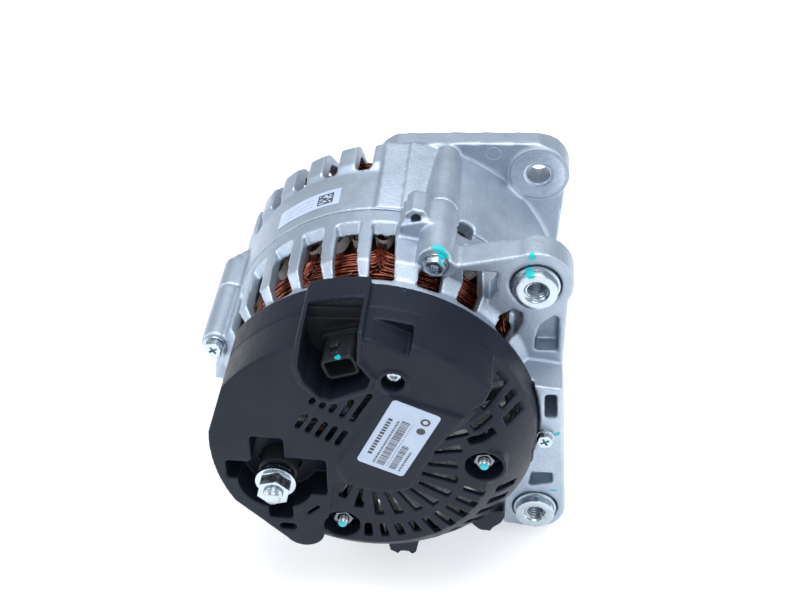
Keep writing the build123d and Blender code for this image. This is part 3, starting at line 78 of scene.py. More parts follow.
# ---------------------------------------------------------------- shader helpers
class Shader:
    """A Principled material with short calls for the nodes that this file uses."""

    def __init__(self, name, **values):
        self.material = bpy.data.materials.new(name)
        self.material.use_nodes = True
        self.tree = self.material.node_tree
        self.surface = self.tree.nodes["Principled BSDF"]
        for socket, value in values.items():
            self.surface.inputs[socket.replace("_", " ")].default_value = value
        self.place = self.add("ShaderNodeTexCoord").outputs["Object"]
        self.height = None

    def add(self, kind, **settings):
        node = self.tree.nodes.new(kind)
        for key, value in settings.items():
            setattr(node, key, value)
        return node

    def put(self, value, socket):
        """Links a node's output to the socket, or writes a constant on it."""
        if isinstance(value, bpy.types.NodeSocket):
            self.tree.links.new(value, socket)
        else:
            socket.default_value = value

    def noise(self, scale, detail=3.0, rough=0.55, stretch=None):
        node = self.add("ShaderNodeTexNoise")
        where = self.place
        if stretch:
            shift = self.add("ShaderNodeMapping")
            self.put(where, shift.inputs["Vector"])
            shift.inputs["Scale"].default_value = stretch
            where = shift.outputs["Vector"]
        self.put(where, node.inputs["Vector"])
        node.inputs["Scale"].default_value = scale
        node.inputs["Detail"].default_value = detail
        node.inputs["Roughness"].default_value = rough
        return node.outputs["Fac"]

    def cells(self, scale):
        node = self.add("ShaderNodeTexVoronoi", feature="F1")
        self.put(self.place, node.inputs["Vector"])
        node.inputs["Scale"].default_value = scale
        return node.outputs["Distance"]

    def remap(self, value, low, high, to_low=0.0, to_high=1.0):
        node = self.add("ShaderNodeMapRange")
        node.clamp = True
        for key, number in (("Value", value), ("From Min", low), ("From Max", high),
                            ("To Min", to_low), ("To Max", to_high)):
            self.put(number, node.inputs[key])
        return node.outputs["Result"]

    def math(self, operation, a, b=0.0):
        node = self.add("ShaderNodeMath", operation=operation)
        self.put(a, node.inputs[0])
        self.put(b, node.inputs[1])
        return node.outputs["Value"]

    def mix(self, share, a, b):
        node = self.add("ShaderNodeMix", data_type="RGBA")
        self.put(share, node.inputs["Factor"])
        for value, socket in ((a, node.inputs[6]), (b, node.inputs[7])):
            if not isinstance(value, bpy.types.NodeSocket):
                value = (*value, 1.0)
            self.put(value, socket)
        return node.outputs[2]

    def edges(self, low, high):
        """1 on convex edges, from the Geometry node's pointiness."""
        return self.remap(self.add("ShaderNodeNewGeometry").outputs["Pointiness"], low, high)

    def near(self, point, radii, ragged=0.25, turn=(0, 0, 0)):
        """1 inside a ragged-edged spot about a point, in millimetres."""
        shift = self.add("ShaderNodeMapping", vector_type="TEXTURE")
        self.put(self.place, shift.inputs["Vector"])
        shift.inputs["Location"].default_value = [v * MM for v in point]
        shift.inputs["Rotation"].default_value = [math.radians(v) for v in turn]
        shift.inputs["Scale"].default_value = [v * MM for v in radii]
        length = self.add("ShaderNodeVectorMath", operation="LENGTH")
        self.put(shift.outputs["Vector"], length.inputs[0])
        wobble = self.remap(self.noise(900.0, 2.0), 0.3, 0.7, -ragged, ragged)
        return self.remap(self.math("ADD", length.outputs["Value"], wobble), 1.0, 0.9)

    def most(self, masks):
        total = masks[0]
        for mask in masks[1:]:
            total = self.math("MAXIMUM", total, mask)
        return total

    def bump(self, height, distance):
        """Adds relief of this depth (in millimetres) to what earlier calls have built up."""
        node = self.add("ShaderNodeBump")
        self.put(height, node.inputs["Height"])
        node.inputs["Distance"].default_value = distance * MM
        node.inputs["Strength"].default_value = 1.0
        if self.height is not None:
            self.put(self.height, node.inputs["Normal"])
        self.height = node.outputs["Normal"]
        self.put(self.height, self.surface.inputs["Normal"])

    def set(self, **links):
        """Feeds nodes or values to sockets, with _ for each space in a socket's name."""
        for socket, value in links.items():
            self.put(value, self.surface.inputs[socket.replace("_", " ")])
        return self


TEAL = (0.005, 0.48, 0.50)
# dark colour painted on the nuts in the cover cups as painted shade
PAINTED_SHADE_ZINC = (0.17, 0.19, 0.22)
RUBBED_STEEL = (0.93, 0.94, 0.96)
EYE_FACE_RADII = (13.9, 0.5, 13.9)
# places of the blue-green paint dabs and of the painted shade on the nuts down in the cover cups: point,
# radii, raggedness, turn
CASTING_DABS = [
    ((25.2, 6.9, 79.2), (4.4, 2.2, 1.3), 0.25, (0, 14, 0)),
    ((27.5, 6.6, 76.5), (2.6, 1.2, 1.6), 0.25, (0, 30, 0)),
    ((64.0, 5.0, 79.2), (1.9, 2.4, 1.5)),
    ((80.6, -13.0, -4.4), (1.7, 1.0, 1.1), 0.25, (0, -38, 0)),
    ((83.0, 4.5, -60.1), (2.3, 1.0, 0.7)),
]
BUSH_DABS = [((63.6, 0.8, 72.7), (2.4, 2.2, 1.5)), ((62.8, 3.4, 73.2), (2.0, 1.4, 1.4))]
BOLT_DABS = [((27.2, 5.6, 76.2), (2.6, 1.0, 1.6), 0.25, (0, 30, 0)),
             ((27.2, 3.2, 75.0), (1.8, 1.3, 1.3), 0.25, (0, 30, 0))]
NUT_DABS = [((x, -42.0, z), (2.5, 1.0, 2.5)) for x, z in (LOWER_CUP, RIGHT_CUP)]
# painted shade: these spots darken the nuts that sit deep in the cover cups
NUT_PAINTED_SHADE = [((x, -34.5, z), (8.0, 6.0, 8.0), 0.0) for x, z in (LOWER_CUP, RIGHT_CUP)]
CROSS_DABS = [((75.5, -15.9, -5.9), (1.9, 1.0, 1.9))]
SOCKET_DABS = [((-11.4, -37.4, 55.8), (1.5, 1.2, 1.2))]


def cast_aluminium():
    """Die-cast skin: fine grain, faint flow marks, rubbed edges, paint dabs, faced eyes."""
    s = Shader("cast_aluminium", Metallic=0.82)
    cloud = s.noise(38.0, 4.0)
    grain = s.noise(1500.0, 2.0, 0.6)
    colour = s.mix(s.remap(cloud, 0.3, 0.7), (0.31, 0.372, 0.46), (0.40, 0.468, 0.56))
    colour = s.mix(s.remap(grain, 0.35, 0.7, 0.0, 0.45), colour, (0.50, 0.565, 0.65))
    colour = s.mix(s.math("MULTIPLY", s.edges(0.51, 0.60), 0.4), colour, (0.70, 0.76, 0.84))
    dabs = s.most([s.near(*dab) for dab in CASTING_DABS])
    colour = s.mix(dabs, colour, TEAL)
    faced = s.most([s.near((x, 86.4, z), EYE_FACE_RADII, 0.0) for x, z in (UPPER_EYE, LOWER_EYE)])
    turning = s.remap(s.noise(420.0, 2.0, stretch=(1.0, 0.05, 1.0)), 0.3, 0.7)
    colour = s.mix(faced, colour, s.mix(turning, (0.50, 0.57, 0.66), (0.60, 0.67, 0.76)))
    rough = s.mix(faced, s.remap(s.noise(160.0, 3.0), 0.3, 0.7, 0.40, 0.52), (0.27, 0.27, 0.27))
    rough_skin = s.remap(faced, 0.0, 1.0, 1.0, 0.06)
    s.bump(s.math("MULTIPLY", s.noise(70.0, 3.0), rough_skin), 0.10)
    s.bump(s.math("MULTIPLY", grain, rough_skin), 0.09)
    s.bump(s.math("MULTIPLY", s.cells(700.0), rough_skin), 0.05)
    return s.set(Base_Color=colour, Roughness=rough,
                 Metallic=s.remap(dabs, 0.0, 1.0, 0.82, 0.0))


def moulded_plastic(name, dark, light, dabs=()):
    """Glass-filled plastic: even dark skin with a fine moulded grain and scuffed edges."""
    s = Shader(name, Specular_IOR_Level=0.2, Specular_Tint=(0.72, 0.84, 1.0, 1.0))
    colour = s.mix(s.remap(s.noise(45.0, 4.0), 0.3, 0.7), dark, light)
    colour = s.mix(s.math("MULTIPLY", s.edges(0.52, 0.62), 0.5), colour,
                   tuple(4.5 * v for v in light))
    if dabs:
        colour = s.mix(s.most([s.near(*dab) for dab in dabs]), colour, TEAL)
    s.bump(s.noise(60.0, 2.0), 0.05)
    s.bump(s.noise(2100.0, 2.0), 0.03)
    return s.set(Base_Color=colour, Roughness=s.remap(s.noise(200.0), 0.3, 0.7, 0.36, 0.46))


def plated_steel(name, dark, light, rough=(0.16, 0.30), dabs=(), painted_shade=(), fine=0.003):
    """Bright plated or machined steel: soft clouding, rubbed edges, spots darkened as painted shade,
    paint dabs.
    """
    s = Shader(name, Metallic=1.0)
    colour = s.mix(s.remap(s.noise(120.0, 3.0), 0.3, 0.7), dark, light)
    colour = s.mix(s.math("MULTIPLY", s.edges(0.52, 0.62), 0.4), colour, RUBBED_STEEL)
    # painted shade: the given spots get a dark colour standing in for the shade in the cover cups
    if painted_shade:
        colour = s.mix(s.most([s.near(*spot) for spot in painted_shade]), colour, PAINTED_SHADE_ZINC)
    s.bump(s.noise(900.0, 2.0), fine)
    metal = 1.0
    if dabs:
        mask = s.most([s.near(*dab) for dab in dabs])
        colour = s.mix(mask, colour, TEAL)
        metal = s.remap(mask, 0.0, 1.0, 1.0, 0.0)
    return s.set(Base_Color=colour, Metallic=metal,
                 Roughness=s.remap(s.noise(420.0), 0.3, 0.7, *rough))


def enamelled_copper():
    """Enamelled wire: deep red-brown metal under a clear coat, darker where varnish sits."""
    s = Shader("enamelled_copper", Metallic=0.95, Coat_Weight=0.6, Coat_Roughness=0.12)
    colour = s.mix(s.remap(s.noise(260.0, 3.0), 0.35, 0.7), (0.10, 0.020, 0.009),
                   (0.42, 0.10, 0.045))
    s.bump(s.noise(900.0, 2.0), 0.02)
    return s.set(Base_Color=colour, Roughness=s.remap(s.noise(500.0), 0.3, 0.7, 0.24, 0.42))


def plain_matter(name, dark, light, rough, metallic=0.0, scale=300.0, depth=0.02, stretch=None):
    """Any other matter: two close tones, a grain at its own scale, and a roughness range."""
    s = Shader(name, Metallic=metallic)
    colour = s.mix(s.remap(s.noise(scale, 4.0, stretch=stretch), 0.3, 0.7), dark, light)
    s.bump(s.noise(4 * scale, 2.0, stretch=stretch), depth)
    return s.set(Base_Color=colour, Roughness=s.remap(s.noise(2 * scale), 0.3, 0.7, *rough))


MATTER = {
    "cast_aluminium": cast_aluminium(),
    "cover_plastic": moulded_plastic("cover_plastic", (0.0055, 0.0075, 0.0145),
                                     (0.0095, 0.0125, 0.022)),
    "zinc_steel": plated_steel("zinc_steel", (0.40, 0.47, 0.53), (0.54, 0.61, 0.67),
                               dabs=BUSH_DABS + BOLT_DABS + NUT_DABS + CROSS_DABS,
                               painted_shade=NUT_PAINTED_SHADE),
    "machined_steel": plated_steel("machined_steel", (0.46, 0.47, 0.49), (0.62, 0.63, 0.65),
                                   rough=(0.24, 0.36)),
    "pole_steel": plain_matter("pole_steel", (0.10, 0.095, 0.09), (0.22, 0.21, 0.20),
                               (0.38, 0.55), 0.9, 180.0, 0.05),
    "lamination": plain_matter("lamination", (0.16, 0.16, 0.17), (0.38, 0.38, 0.39),
                               (0.35, 0.5), 0.9, 60.0, 0.05, (0.02, 30.0, 0.02)),
    "sheet_steel": plated_steel("sheet_steel", (0.42, 0.43, 0.45), (0.56, 0.57, 0.59),
                                rough=(0.26, 0.40)),
    "enamelled_copper": enamelled_copper(),
    "bare_copper": plain_matter("bare_copper", (0.55, 0.25, 0.13), (0.74, 0.40, 0.24),
                                (0.18, 0.30), 1.0, 200.0, 0.01, (1.0, 12.0, 1.0)),
    "liner": plain_matter("liner", (0.42, 0.42, 0.41), (0.66, 0.66, 0.63), (0.62, 0.8), 0.0,
                          420.0, 0.03),
    "insulator": moulded_plastic("insulator", (0.012, 0.013, 0.016), (0.024, 0.025, 0.030),
                                 dabs=SOCKET_DABS),
    "bobbin_plastic": plain_matter("bobbin_plastic", (0.50, 0.46, 0.36), (0.66, 0.62, 0.52),
                                   (0.4, 0.55), 0.0, 140.0, 0.02),
    "bearing_steel": plated_steel("bearing_steel", (0.66, 0.67, 0.69), (0.80, 0.81, 0.83),
                                  rough=(0.08, 0.16), fine=0.004),
    "heatsink": plain_matter("heatsink", (0.72, 0.74, 0.77), (0.90, 0.91, 0.92), (0.24, 0.38),
                             0.7, 220.0, 0.02, (1.0, 6.0, 1.0)),
    "carbon": plain_matter("carbon", (0.02, 0.02, 0.022), (0.07, 0.068, 0.07), (0.5, 0.65),
                           0.3, 600.0, 0.03),
    "contact_brass": plain_matter("contact_brass", (0.62, 0.55, 0.38), (0.78, 0.70, 0.50),
                                  (0.22, 0.34), 1.0, 300.0, 0.01),
    "label_foil": plain_matter("label_foil", (0.38, 0.455, 0.59), (0.43, 0.51, 0.65),
                               (0.30, 0.40), 0.0, 90.0, 0.015),
    "label_ink": plain_matter("label_ink", (0.018, 0.020, 0.026), (0.05, 0.055, 0.065),
                              (0.42, 0.55), 0.0, 500.0, 0.004),
}
SLOT_OF = {row["node"]: row["material_slot"] for row in frame["record"]["subparts"]}
BODY_OF = {node: body for body, members in frame["record"]["behaviour"]["bodies"].items()
           for node in members}
for node_name, carried in NODES.items():
    carried.data.materials.clear()
    carried.data.materials.append(MATTER[SLOT_OF[node_name]].material)


# ---------------------------------------------------------------- mesh helpers
def finish_piece(name, mesh, slot, body, matter=None, sharp=40.0):
    """Links a mesh as a piece with smooth faces, sharp edges by angle, a material and a body."""
    mesh.materials.clear()
    mesh.materials.append(MATTER[matter or slot].material)
    mesh.polygons.foreach_set("use_smooth", [True] * len(mesh.polygons))
    mesh.set_sharp_from_angle(angle=math.radians(sharp))
    piece = bpy.data.objects.new(name, mesh)
    scene.collection.objects.link(piece)
    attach(piece, body)
    return piece


def cad_copy(node, name):
    """The node's mesh as a new one, with the vertices along its edges joined again."""
    mesh = NODES[node].data.copy()
    mesh.name = name
    for key in ("custom_normal", "sharp_edge"):
        if key in mesh.attributes:
            mesh.attributes.remove(mesh.attributes[key])
    work = bmesh.new()
    work.from_mesh(mesh)
    bmesh.ops.remove_doubles(work, verts=work.verts, dist=2e-6)
    work.to_mesh(mesh)
    work.free()
    return mesh


def through_modifiers(mesh, stack):
    """The mesh after a stack of (kind, settings) modifiers."""
    holder = bpy.data.objects.new("holder", mesh)
    scene.collection.objects.link(holder)
    for kind, settings in stack:
        modifier = holder.modifiers.new(kind, kind)
        for key, value in settings.items():
            setattr(modifier, key, value)
    graph = bpy.context.evaluated_depsgraph_get()
    made = bpy.data.meshes.new_from_object(holder.evaluated_get(graph))
    bpy.data.objects.remove(holder)
    return made


def cast_piece(node, voxel, passes, keep):
    """A cast or moulded stand-in of a node: remeshed in small voxels, its edges worn round."""
    mesh = through_modifiers(cad_copy(node, node + "_skin"), [
        ("REMESH", {"mode": "VOXEL", "voxel_size": voxel * MM, "adaptivity": 0.0}),
        ("SMOOTH", {"factor": 0.5, "iterations": passes}),
        ("DECIMATE", {"ratio": keep}),
    ])
    piece = finish_piece(node + "_skin", mesh, SLOT_OF[node], BODY_OF[node], sharp=180.0)
    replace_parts(piece, node)


def edged_piece(node, width):
    """A machined or stamped stand-in of a node, with its sharp edges broken."""
    mesh = through_modifiers(cad_copy(node, node + "_edged"), [
        ("DECIMATE", {"decimate_type": "DISSOLVE", "angle_limit": math.radians(0.6)}),
        ("BEVEL", {"width": width * MM, "segments": 2, "limit_method": "ANGLE",
                   "angle_limit": math.radians(32.0), "use_clamp_overlap": True}),
        ("TRIANGULATE", {}),
    ])
    piece = finish_piece(node + "_edged", mesh, SLOT_OF[node], BODY_OF[node], sharp=32.0)
    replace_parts(piece, node)


class Build:
    """Collects vertices (in millimetres) and faces of one piece."""

    def __init__(self):
        self.points, self.faces = [], []

    def grid(self, rows, close_rows=False, close_columns=False, caps=False):
        """Faces over a grid of points; rows and columns may close on themselves."""
        base, height, width = len(self.points), len(rows), len(rows[0])
        for row in rows:
            self.points.extend([tuple(p) for p in row])
        for i in range(height if close_rows else height - 1):
            for j in range(width if close_columns else width - 1):
                k, m = (i + 1) % height, (j + 1) % width
                self.faces.append((base + i * width + j, base + i * width + m,
                                   base + k * width + m, base + k * width + j))
        if caps:
            self.faces.append(tuple(base + j for j in range(width)))
            self.faces.append(tuple(base + (height - 1) * width + j
                                    for j in reversed(range(width))))

    def box(self, centre, sizes, turn=0.0):
        """A box with its own x and z turned about the Y axis."""
        turn = math.radians(turn)
        corners = []
        for sy in (-0.5, 0.5):
            ring = []
            for sx, sz in ((-0.5, -0.5), (0.5, -0.5), (0.5, 0.5), (-0.5, 0.5)):
                x, z = sx * sizes[0], sz * sizes[2]
                ring.append((centre[0] + x * math.cos(turn) - z * math.sin(turn),
                             centre[1] + sy * sizes[1],
                             centre[2] + x * math.sin(turn) + z * math.cos(turn)))
            corners.append(ring)
        self.grid(corners, close_columns=True, caps=True)

    def tube(self, path, radius, sides=6):
        """A closed tube along a list of points."""
        path = np.array(path, float)
        ahead = np.gradient(path, axis=0)
        ahead /= np.linalg.norm(ahead, axis=1)[:, None] + 1e-12
        side = np.cross(ahead[0], (0.31, 0.17, 0.93))
        side /= np.linalg.norm(side)
        rows = []
        for point, heading in zip(path, ahead):
            side = side - heading * np.dot(side, heading)
            side /= np.linalg.norm(side) + 1e-12
            other = np.cross(heading, side)
            rows.append([point + radius * (math.cos(a) * side + math.sin(a) * other)
                         for a in (2 * math.pi * k / sides for k in range(sides))])
        self.grid(rows, close_columns=True, caps=True)

    def piece(self, name, slot, matter=None, sharp=40.0):
        """Ends the build as a named piece on the housing."""
        mesh = bpy.data.meshes.new(name)
        mesh.from_pydata([(x * MM, y * MM, z * MM) for x, y, z in self.points], [], self.faces)
        work = bmesh.new()
        work.from_mesh(mesh)
        bmesh.ops.recalc_face_normals(work, faces=work.faces)
        work.to_mesh(mesh)
        work.free()
        return finish_piece(name, mesh, slot, "housing", matter, sharp)


def on_drum(radius, angle, y):
    """The point at this radius and angle (degrees, from +X towards +Z) about the rotor axis."""
    return (radius * math.cos(math.radians(angle)), y, radius * math.sin(math.radians(angle)))


def smooth_path(points, steps):
    """Catmull-Rom points through a list of points."""
    points = [np.array(p, float) for p in points]
    points = [2 * points[0] - points[1]] + points + [2 * points[-1] - points[-2]]
    made = []
    for a, b, c, d in zip(points, points[1:], points[2:], points[3:]):
        for k in range(steps):
            t = k / steps
            made.append(0.5 * (2 * b + (c - a) * t + (2 * a - 5 * b + 4 * c - d) * t * t
                               + (3 * b - a - 3 * c + d) * t ** 3))
    made.append(points[-2])
    return made


THREAD_SIDES, THREAD_STEP = 28, 0.16
THREAD_DEPTH, TIP_CHAMFER = 0.61, 0.9       # share of the pitch, millimetres


def thread_rows(at, y0, y1, radius_at):
    """Rows of points round an axis parallel to the shaft, with a radius of (y, turn share)."""
    steps = max(2, int(abs(y1 - y0) / THREAD_STEP))
    rows = []
    for i in range(steps + 1):
        y = y0 + (y1 - y0) * i / steps
        row = []
        for k in range(THREAD_SIDES):
            share = k / THREAD_SIDES
            r = radius_at(y, share)
            row.append((at[0] + r * math.cos(2 * math.pi * share), y,
                        at[1] + r * math.sin(2 * math.pi * share)))
        rows.append(row)
    return rows


def crest(y, share, pitch):
    """0 in the root and 1 on the crest of a right-hand thread."""
    phase = (y / pitch + share) % 1.0
    return min(1.0, max(0.0, 1.25 * (1 - abs(2 * phase - 1)) - 0.12))


def threaded_rod(build, at, tip, root, radius, pitch):
    """A stud from its chamfered tip to its root, with its thread."""
    def radius_at(y, share):
        full = radius - THREAD_DEPTH * pitch * (1 - crest(y, share, pitch))
        return min(full, radius - TIP_CHAMFER + TIP_CHAMFER * abs(y - tip))

    build.grid(thread_rows(at, tip, root, radius_at), close_columns=True, caps=True)


def threaded_bore(build, at, mouth, depth, radius, pitch, backing):
    """The wall of a tapped hole: thread ridges inside a bore, backed by a hidden sleeve."""
    inner = thread_rows(at, mouth, depth,
                        lambda y, share: radius - 0.5 * crest(y, share, pitch))
    outer = thread_rows(at, depth, mouth, lambda y, share: radius + backing)
    build.grid(inner + outer, close_rows=True, close_columns=True)


# ---------------------------------------------------------------- castings and mouldings
cast_piece("rear_bracket", 0.7, 5, 0.45)
cast_piece("front_bracket", 0.8, 5, 0.45)
cast_piece("rear_cover", 0.5, 3, 0.5)
cast_piece("regulator_housing", 0.4, 3, 0.6)

for node_name, width in {
    "upper_rear_bush": 0.45, "lower_rear_bush": 0.45, "through_bolts": 0.22,
    "cover_nuts": 0.25, "cover_screw": 0.2, "b_plus_nut": 0.3, "b_plus_washer": 0.2,
    "b_plus_insulator": 0.3, "pulley": 0.2, "pulley_nut": 0.4, "pulley_washer": 0.2,
    "pulley_spacer": 0.2, "rotor_shaft": 0.3, "positive_heatsink": 0.15,
    "negative_heatsink": 0.15, "rectifier_terminal_ring": 0.2, "rear_fan": 0.15,
    "front_fan": 0.15, "connector_pins": 0.12, "retainer_screws": 0.15,
    "rectifier_diodes": 0.25, "regulator_screws": 0.2, "rectifier_screws": 0.2,
}.items():
    edged_piece(node_name, width)

# ---------------------------------------------------------------- threads
bush_threads = Build()
for at in (UPPER_EYE, LOWER_EYE):
    threaded_bore(bush_threads, at, 1.6, 20.2, 4.32, 1.5, 0.6)
bush_threads.piece("bush_threads", "zinc_steel", sharp=60.0)

stud = Build()
threaded_rod(stud, OUTPUT_STUD, -52.9, -24.0, 3.98, 1.25)
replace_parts(stud.piece("output_stud_thread", "zinc_steel", sharp=60.0), "b_plus_stud")

studs = Build()
for at in (LOWER_CUP, RIGHT_CUP):
    threaded_rod(studs, at, STUD_TIP_Y, -4.6, 2.46, 0.8)
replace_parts(studs.piece("cover_stud_threads", "zinc_steel", sharp=60.0), "cover_studs")

# ---------------------------------------------------------------- winding
SLOTS, SLOT_STEP, COIL_PITCH = 36, 10.0, 3     # the step is in degrees, the pitch in slots
WIRES, WIRE_R = 12, 0.56
COIL_R, LAYER_STEP, ROW_STEP = 62.1, 1.75, 2.35
LINER_R = 62.0


def end_turns(name, core_y, far_y):
    """Bundles of wire that leave one slot, run round and enter the third slot after it."""
    rng = random.Random(name)
    outward = 1 if far_y > core_y else -1
    reach = abs(far_y - core_y)
    wires = Build()
    for bundle in range(SLOTS):
        start = bundle * SLOT_STEP + rng.uniform(-0.5, 0.5)
        end = start + COIL_PITCH * SLOT_STEP
        layer = bundle % COIL_PITCH
        for strand in range(WIRES):
            level = reach - 0.7 - ROW_STEP * (strand // 2) + rng.uniform(-0.7, 0.5)
            radius = (COIL_R - LAYER_STEP * layer - 0.95 * (strand % 2)
                      + rng.uniform(-0.35, 0.25))
            shift = rng.uniform(-1.7, 1.7)
            lean = rng.uniform(-0.9, 0.9)
            corners = []
            for angle, height, inward in (
                (start + shift, 1.0, 1.5), (start + shift, level * 0.55, 1.0),
                (start + shift + 1.4, level - 2.6, 0.3), (start + shift + 4.2, level - 0.4, 0.0),
                (start + 11.0, level + lean * 0.4, 0.0), (start + 15.0, level + 0.25, -0.1),
                (start + 19.0, level - lean * 0.4, 0.0), (end + shift - 4.2, level - 0.4, 0.0),
                (end + shift - 1.4, level - 2.6, 0.3), (end + shift, level * 0.55, 1.0),
                (end + shift, 1.0, 1.5),
            ):
                corners.append(on_drum(radius - inward + rng.uniform(-0.12, 0.12), angle,
                                       core_y + outward * height))
            wires.tube(smooth_path(corners, 2), WIRE_R, 5)
    return wires.piece(name, "enamelled_copper", sharp=180.0)


def packing(name, y0, y1):
    """The varnished mass of the inner layers, rippled by the wires in it."""
    rng = random.Random(name)
    body = Build()
    outline = [(51.0, y0 + 1.5), (54.0, y0), (56.2, y0 + 0.6), (57.2, y0 + 3.0), (57.2, y1),
               (51.0, y1)]
    rows = []
    for step in range(180):
        angle = 2.0 * step
        ripple = 0.5 * math.sin(math.radians(angle * SLOTS))
        rows.append([on_drum(r + ripple + rng.uniform(-0.2, 0.2), angle,
                             y + rng.uniform(-0.3, 0.3)) for r, y in outline])
    body.grid(rows, close_rows=True, close_columns=True)
    return body.piece(name, "enamelled_copper", sharp=180.0)


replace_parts(end_turns("rear_end_turns", 39.6, 9.8), "stator_winding")
end_turns("front_end_turns", 72.4, 93.6)
packing("rear_winding_packing", 12.0, 39.0)
packing("front_winding_packing", 73.0, 92.0)


def collars(name, core_y, reach):
    """Paper cuffs that stand out of each slot round the wires, on the side of reach's sign."""
    cuffs = Build()
    half = [(-4.7, 0.30), (-4.6, 0.52), (-4.1, 0.74), (-3.1, 0.90), (-1.6, 0.98), (0.0, 1.0)]
    outline = half + [(-s, h) for s, h in reversed(half[:-1])]
    for slot in range(SLOTS):
        rows = []
        for s, h in outline:
            angle = slot * SLOT_STEP + math.degrees(s / LINER_R)
            normal_s, normal_h = (s / 4.7, 0.35 + h * 0.4)
            ring = []
            for r, t in ((57.5, 0.0), (62.9, 0.0), (62.9, 0.5), (57.5, 0.5)):
                lift = t * normal_h if reach > 0 else -t * normal_h
                ring.append(on_drum(r, angle + math.degrees(t * normal_s / LINER_R),
                                    core_y - reach * h + lift))
            rows.append(ring)
        cuffs.grid(rows, close_columns=True, caps=True)
    return cuffs.piece(name, "liner", sharp=50.0)


collars("rear_liner_cuffs", 58.0, 27.0)
collars("front_liner_cuffs", 58.0, -22.0)

# ---------------------------------------------------------------- parting line of the brackets
flash = Build()
rng = random.Random(5)
for first, last in ((75, 163), (169, 258), (-97, -8), (0, 36)):
    path = []
    for k in range(int(last - first) * 2 + 1):
        angle = first + k / 2
        path.append(on_drum(DRUM_R + rng.uniform(-0.12, 0.1), angle,
                            PARTING_Y + rng.uniform(-0.12, 0.12)))
    flash.tube(path, 0.28, 5)
flash.piece("parting_line", "cast_aluminium", sharp=180.0)

# round ejector marks on the plate, and the turned outer and inner rim of both eye faces
marks_cast = Build()
for (x, z), y, radius, wire in (((45.3, 73.4), PLATE_FACE_Y, 3.4, 0.16),
                                ((73.1, 45.4), PLATE_FACE_Y, 3.4, 0.16),
                                (UPPER_EYE, EYE_FACE_Y, 14.1, 0.22), (LOWER_EYE, EYE_FACE_Y, 14.1, 0.22),
                                (UPPER_EYE, EYE_FACE_Y, 5.6, 0.2), (LOWER_EYE, EYE_FACE_Y, 5.6, 0.2)):
    loop = [[(x + (radius + wire * math.cos(b)) * math.cos(a), y + wire * math.sin(b),
              z + (radius + wire * math.cos(b)) * math.sin(a))
             for b in (2 * math.pi * j / 6 for j in range(6))]
            for a in (2 * math.pi * k / 48 for k in range(48))]
    marks_cast.grid(loop, close_rows=True, close_columns=True)
marks_cast.piece("ejector_marks", "cast_aluminium", sharp=180.0)

# ---------------------------------------------------------------- stickers
PRINT_DEPTH = 0.03
COVER_LABEL = {"at": (13.7, 18.5), "turn": 66.6, "face": -44.67}


def on_cover_label(u, v, width, height):
    """Centre, sizes and turn of a printed block given in the plane of the cover label."""
    turn = math.radians(COVER_LABEL["turn"])
    x = COVER_LABEL["at"][0] + u * math.cos(turn) - v * math.sin(turn)
    z = COVER_LABEL["at"][1] + u * math.sin(turn) + v * math.cos(turn)
    return (x, COVER_LABEL["face"] - 0.01, z), (width, PRINT_DEPTH, height), COVER_LABEL["turn"]


def bar_row(rng, first, last, v, height, widths, gaps):
    """Blocks of random width side by side along a label."""
    made = []
    while first < last:
        width = rng.choice(widths)
        made.append((first + width / 2, v, width, height))
        first += width + rng.choice(gaps)
    return made


ink = Build()
rng = random.Random(11)
marks = (bar_row(rng, -13.5, 8.5, 7.4, 1.9, (1.1, 1.4), (0.55, 0.7))            # heading blocks
         + bar_row(rng, -17.5, 10.0, 3.9, 0.9, (0.6, 0.9), (0.35, 0.5))         # number row
         + bar_row(rng, -17.5, 10.5, 0.9, 3.6, (0.26, 0.4, 0.66), (0.3, 0.42))  # long bar code
         + [(-3.5, -2.0, 27.0, 0.14)]                                           # thin rule
         + bar_row(rng, -17.5, -2.5, -4.6, 3.0, (0.26, 0.4, 0.66), (0.3, 0.42))
         + bar_row(rng, -17.5, -5.0, -7.8, 0.9, (0.6, 0.9), (0.35, 0.5)))
for mark in marks:
    ink.box(*on_cover_label(*mark))
ROUND_SIDES = 28
for (centre_u, centre_v), radius, hole in (((14.2, -6.0), 2.1, 1.1), ((8.6, -6.4), 1.9, 0.0)):
    rows = []
    for r, depth in ((hole, 0.0), (radius, 0.0), (radius, -PRINT_DEPTH), (hole, -PRINT_DEPTH)):
        row = []
        for k in range(ROUND_SIDES):
            a = 2 * math.pi * k / ROUND_SIDES
            centre, _, _ = on_cover_label(centre_u + (r + 0.001) * math.cos(a),
                                          centre_v + (r + 0.001) * math.sin(a), 1, 1)
            row.append((centre[0], centre[1] + depth + 0.01, centre[2]))
        rows.append(row)
    ink.grid(rows, close_rows=True, close_columns=True)
ink.piece("cover_label_print", "label_foil", matter="label_ink")

# print of the housing sticker: a square block of random cells and three tiny rows beside it
PRINT_BACK_R, PRINT_FRONT_R = 72.255, 72.275
CELLS, CELL_SIZE = 10, 0.72
side_ink = Build()
rng = random.Random(12)


def on_drum_label(angle, y, wide, tall):
    """A thin block that follows the drum: its angle, its station and its two sizes."""
    rows = []
    for r, edges in ((PRINT_BACK_R, (-0.5, 0.5)), (PRINT_FRONT_R, (0.5, -0.5))):
        for edge in edges:
            rows.append([on_drum(r, angle + math.degrees(side * wide / DRUM_R), y + edge * tall)
                         for side in (-0.5, 0.0, 0.5)])
    side_ink.grid(rows, close_rows=True)


for column in range(CELLS):
    for line in range(CELLS):
        if rng.random() < 0.5 or column in (0, CELLS - 1) or line in (0, CELLS - 1):
            on_drum_label(110.4 + column * 0.62, 51.2 + line * 0.78, CELL_SIZE, CELL_SIZE)
for y in (52.0, 54.6, 57.2):
    angle = 118.6
    while angle < 131.0:
        width = rng.choice((0.35, 0.5, 0.7))
        on_drum_label(angle, y, width, 0.35)
        angle += math.degrees((width / 2 + 0.6) / DRUM_R) + 0.35
side_ink.piece("housing_label_print", "label_foil", matter="label_ink")

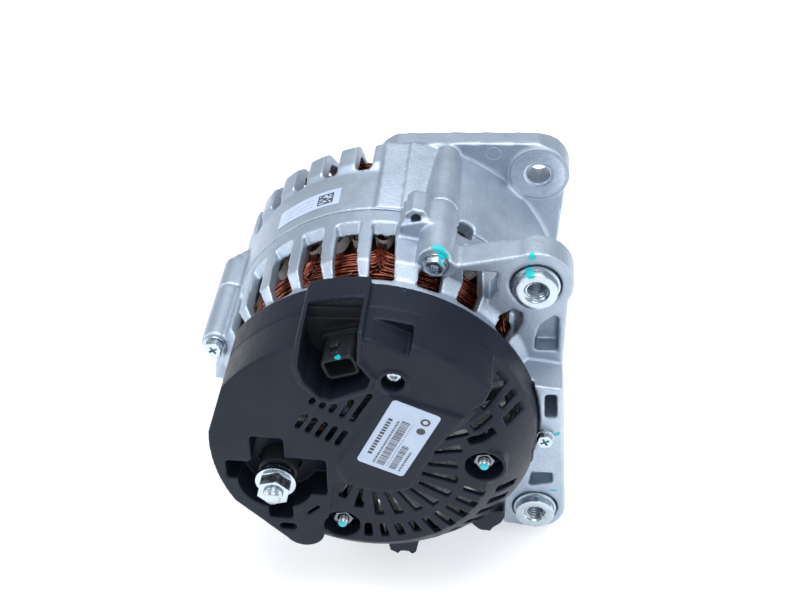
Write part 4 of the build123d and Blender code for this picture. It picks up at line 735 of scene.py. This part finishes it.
# ---------------------------------------------------------------- stage, light and camera
FLOOR_HALF, FLOOR_GAP = 3.0, 0.0002         # metres
floor_z = cad_box[0][2] - FLOOR_GAP
floor_mesh = bpy.data.meshes.new("floor")
floor_mesh.from_pydata([(x * FLOOR_HALF, y * FLOOR_HALF, floor_z)
                        for x, y in ((-1, -1), (1, -1), (1, 1), (-1, 1))], [], [(0, 1, 2, 3)])
floor = bpy.data.objects.new("floor", floor_mesh)
scene.collection.objects.link(floor)
pale = Shader("floor_white", Roughness=0.9)
pale.surface.inputs["Specular IOR Level"].default_value = 0.1
pale.surface.inputs["Emission Color"].default_value = (1.0, 1.0, 1.0, 1.0)
pale.surface.inputs["Emission Strength"].default_value = 0.32
pale.set(Base_Color=pale.mix(pale.noise(3.0), (0.90, 0.90, 0.905), (0.92, 0.92, 0.925)))
floor_mesh.materials.append(pale.material)

world = bpy.data.worlds.new("studio")
scene.world = world
world.use_nodes = True
sky = world.node_tree.nodes["Background"]
sky.inputs["Color"].default_value = (0.93, 0.96, 1.0, 1.0)
sky.inputs["Strength"].default_value = 0.55
CENTRE = (0.0, 0.03, 0.0)


def softbox(name, place, width, height, watts, colour):
    """A rectangular lamp aimed at the middle of the alternator."""
    light = bpy.data.lights.new(name, "AREA")
    light.shape = "RECTANGLE"
    light.size, light.size_y = width, height
    light.energy = watts
    light.color = colour
    lamp = bpy.data.objects.new(name, light)
    scene.collection.objects.link(lamp)
    lamp.location = place
    lamp.rotation_euler = (Vector(CENTRE) - Vector(place)).to_track_quat("-Z", "Y").to_euler()


softbox("top", (0.05, 0.15, 0.95), 0.9, 0.7, 9.0, (0.96, 0.98, 1.0))
softbox("left", (-0.85, -0.25, 0.45), 0.5, 0.8, 4.0, (0.95, 0.975, 1.0))
softbox("right", (0.95, -0.1, 0.35), 0.4, 0.8, 3.0, (0.95, 0.975, 1.0))
softbox("front", (0.15, -1.0, 0.75), 0.7, 0.4, 3.0, (0.97, 0.985, 1.0))

camera_data = bpy.data.cameras.new("camera")
camera_data.lens = 58.5
camera_data.sensor_width = 36.0
camera_data.clip_start = 0.01
camera = bpy.data.objects.new("camera", camera_data)
scene.collection.objects.link(camera)
camera.location = (0.04928, -0.41734, 0.40643)
camera.rotation_euler = (math.radians(90 - 39.902), 0.0, math.radians(5.341))
scene.camera = camera
scene.view_settings.view_transform = "Standard"
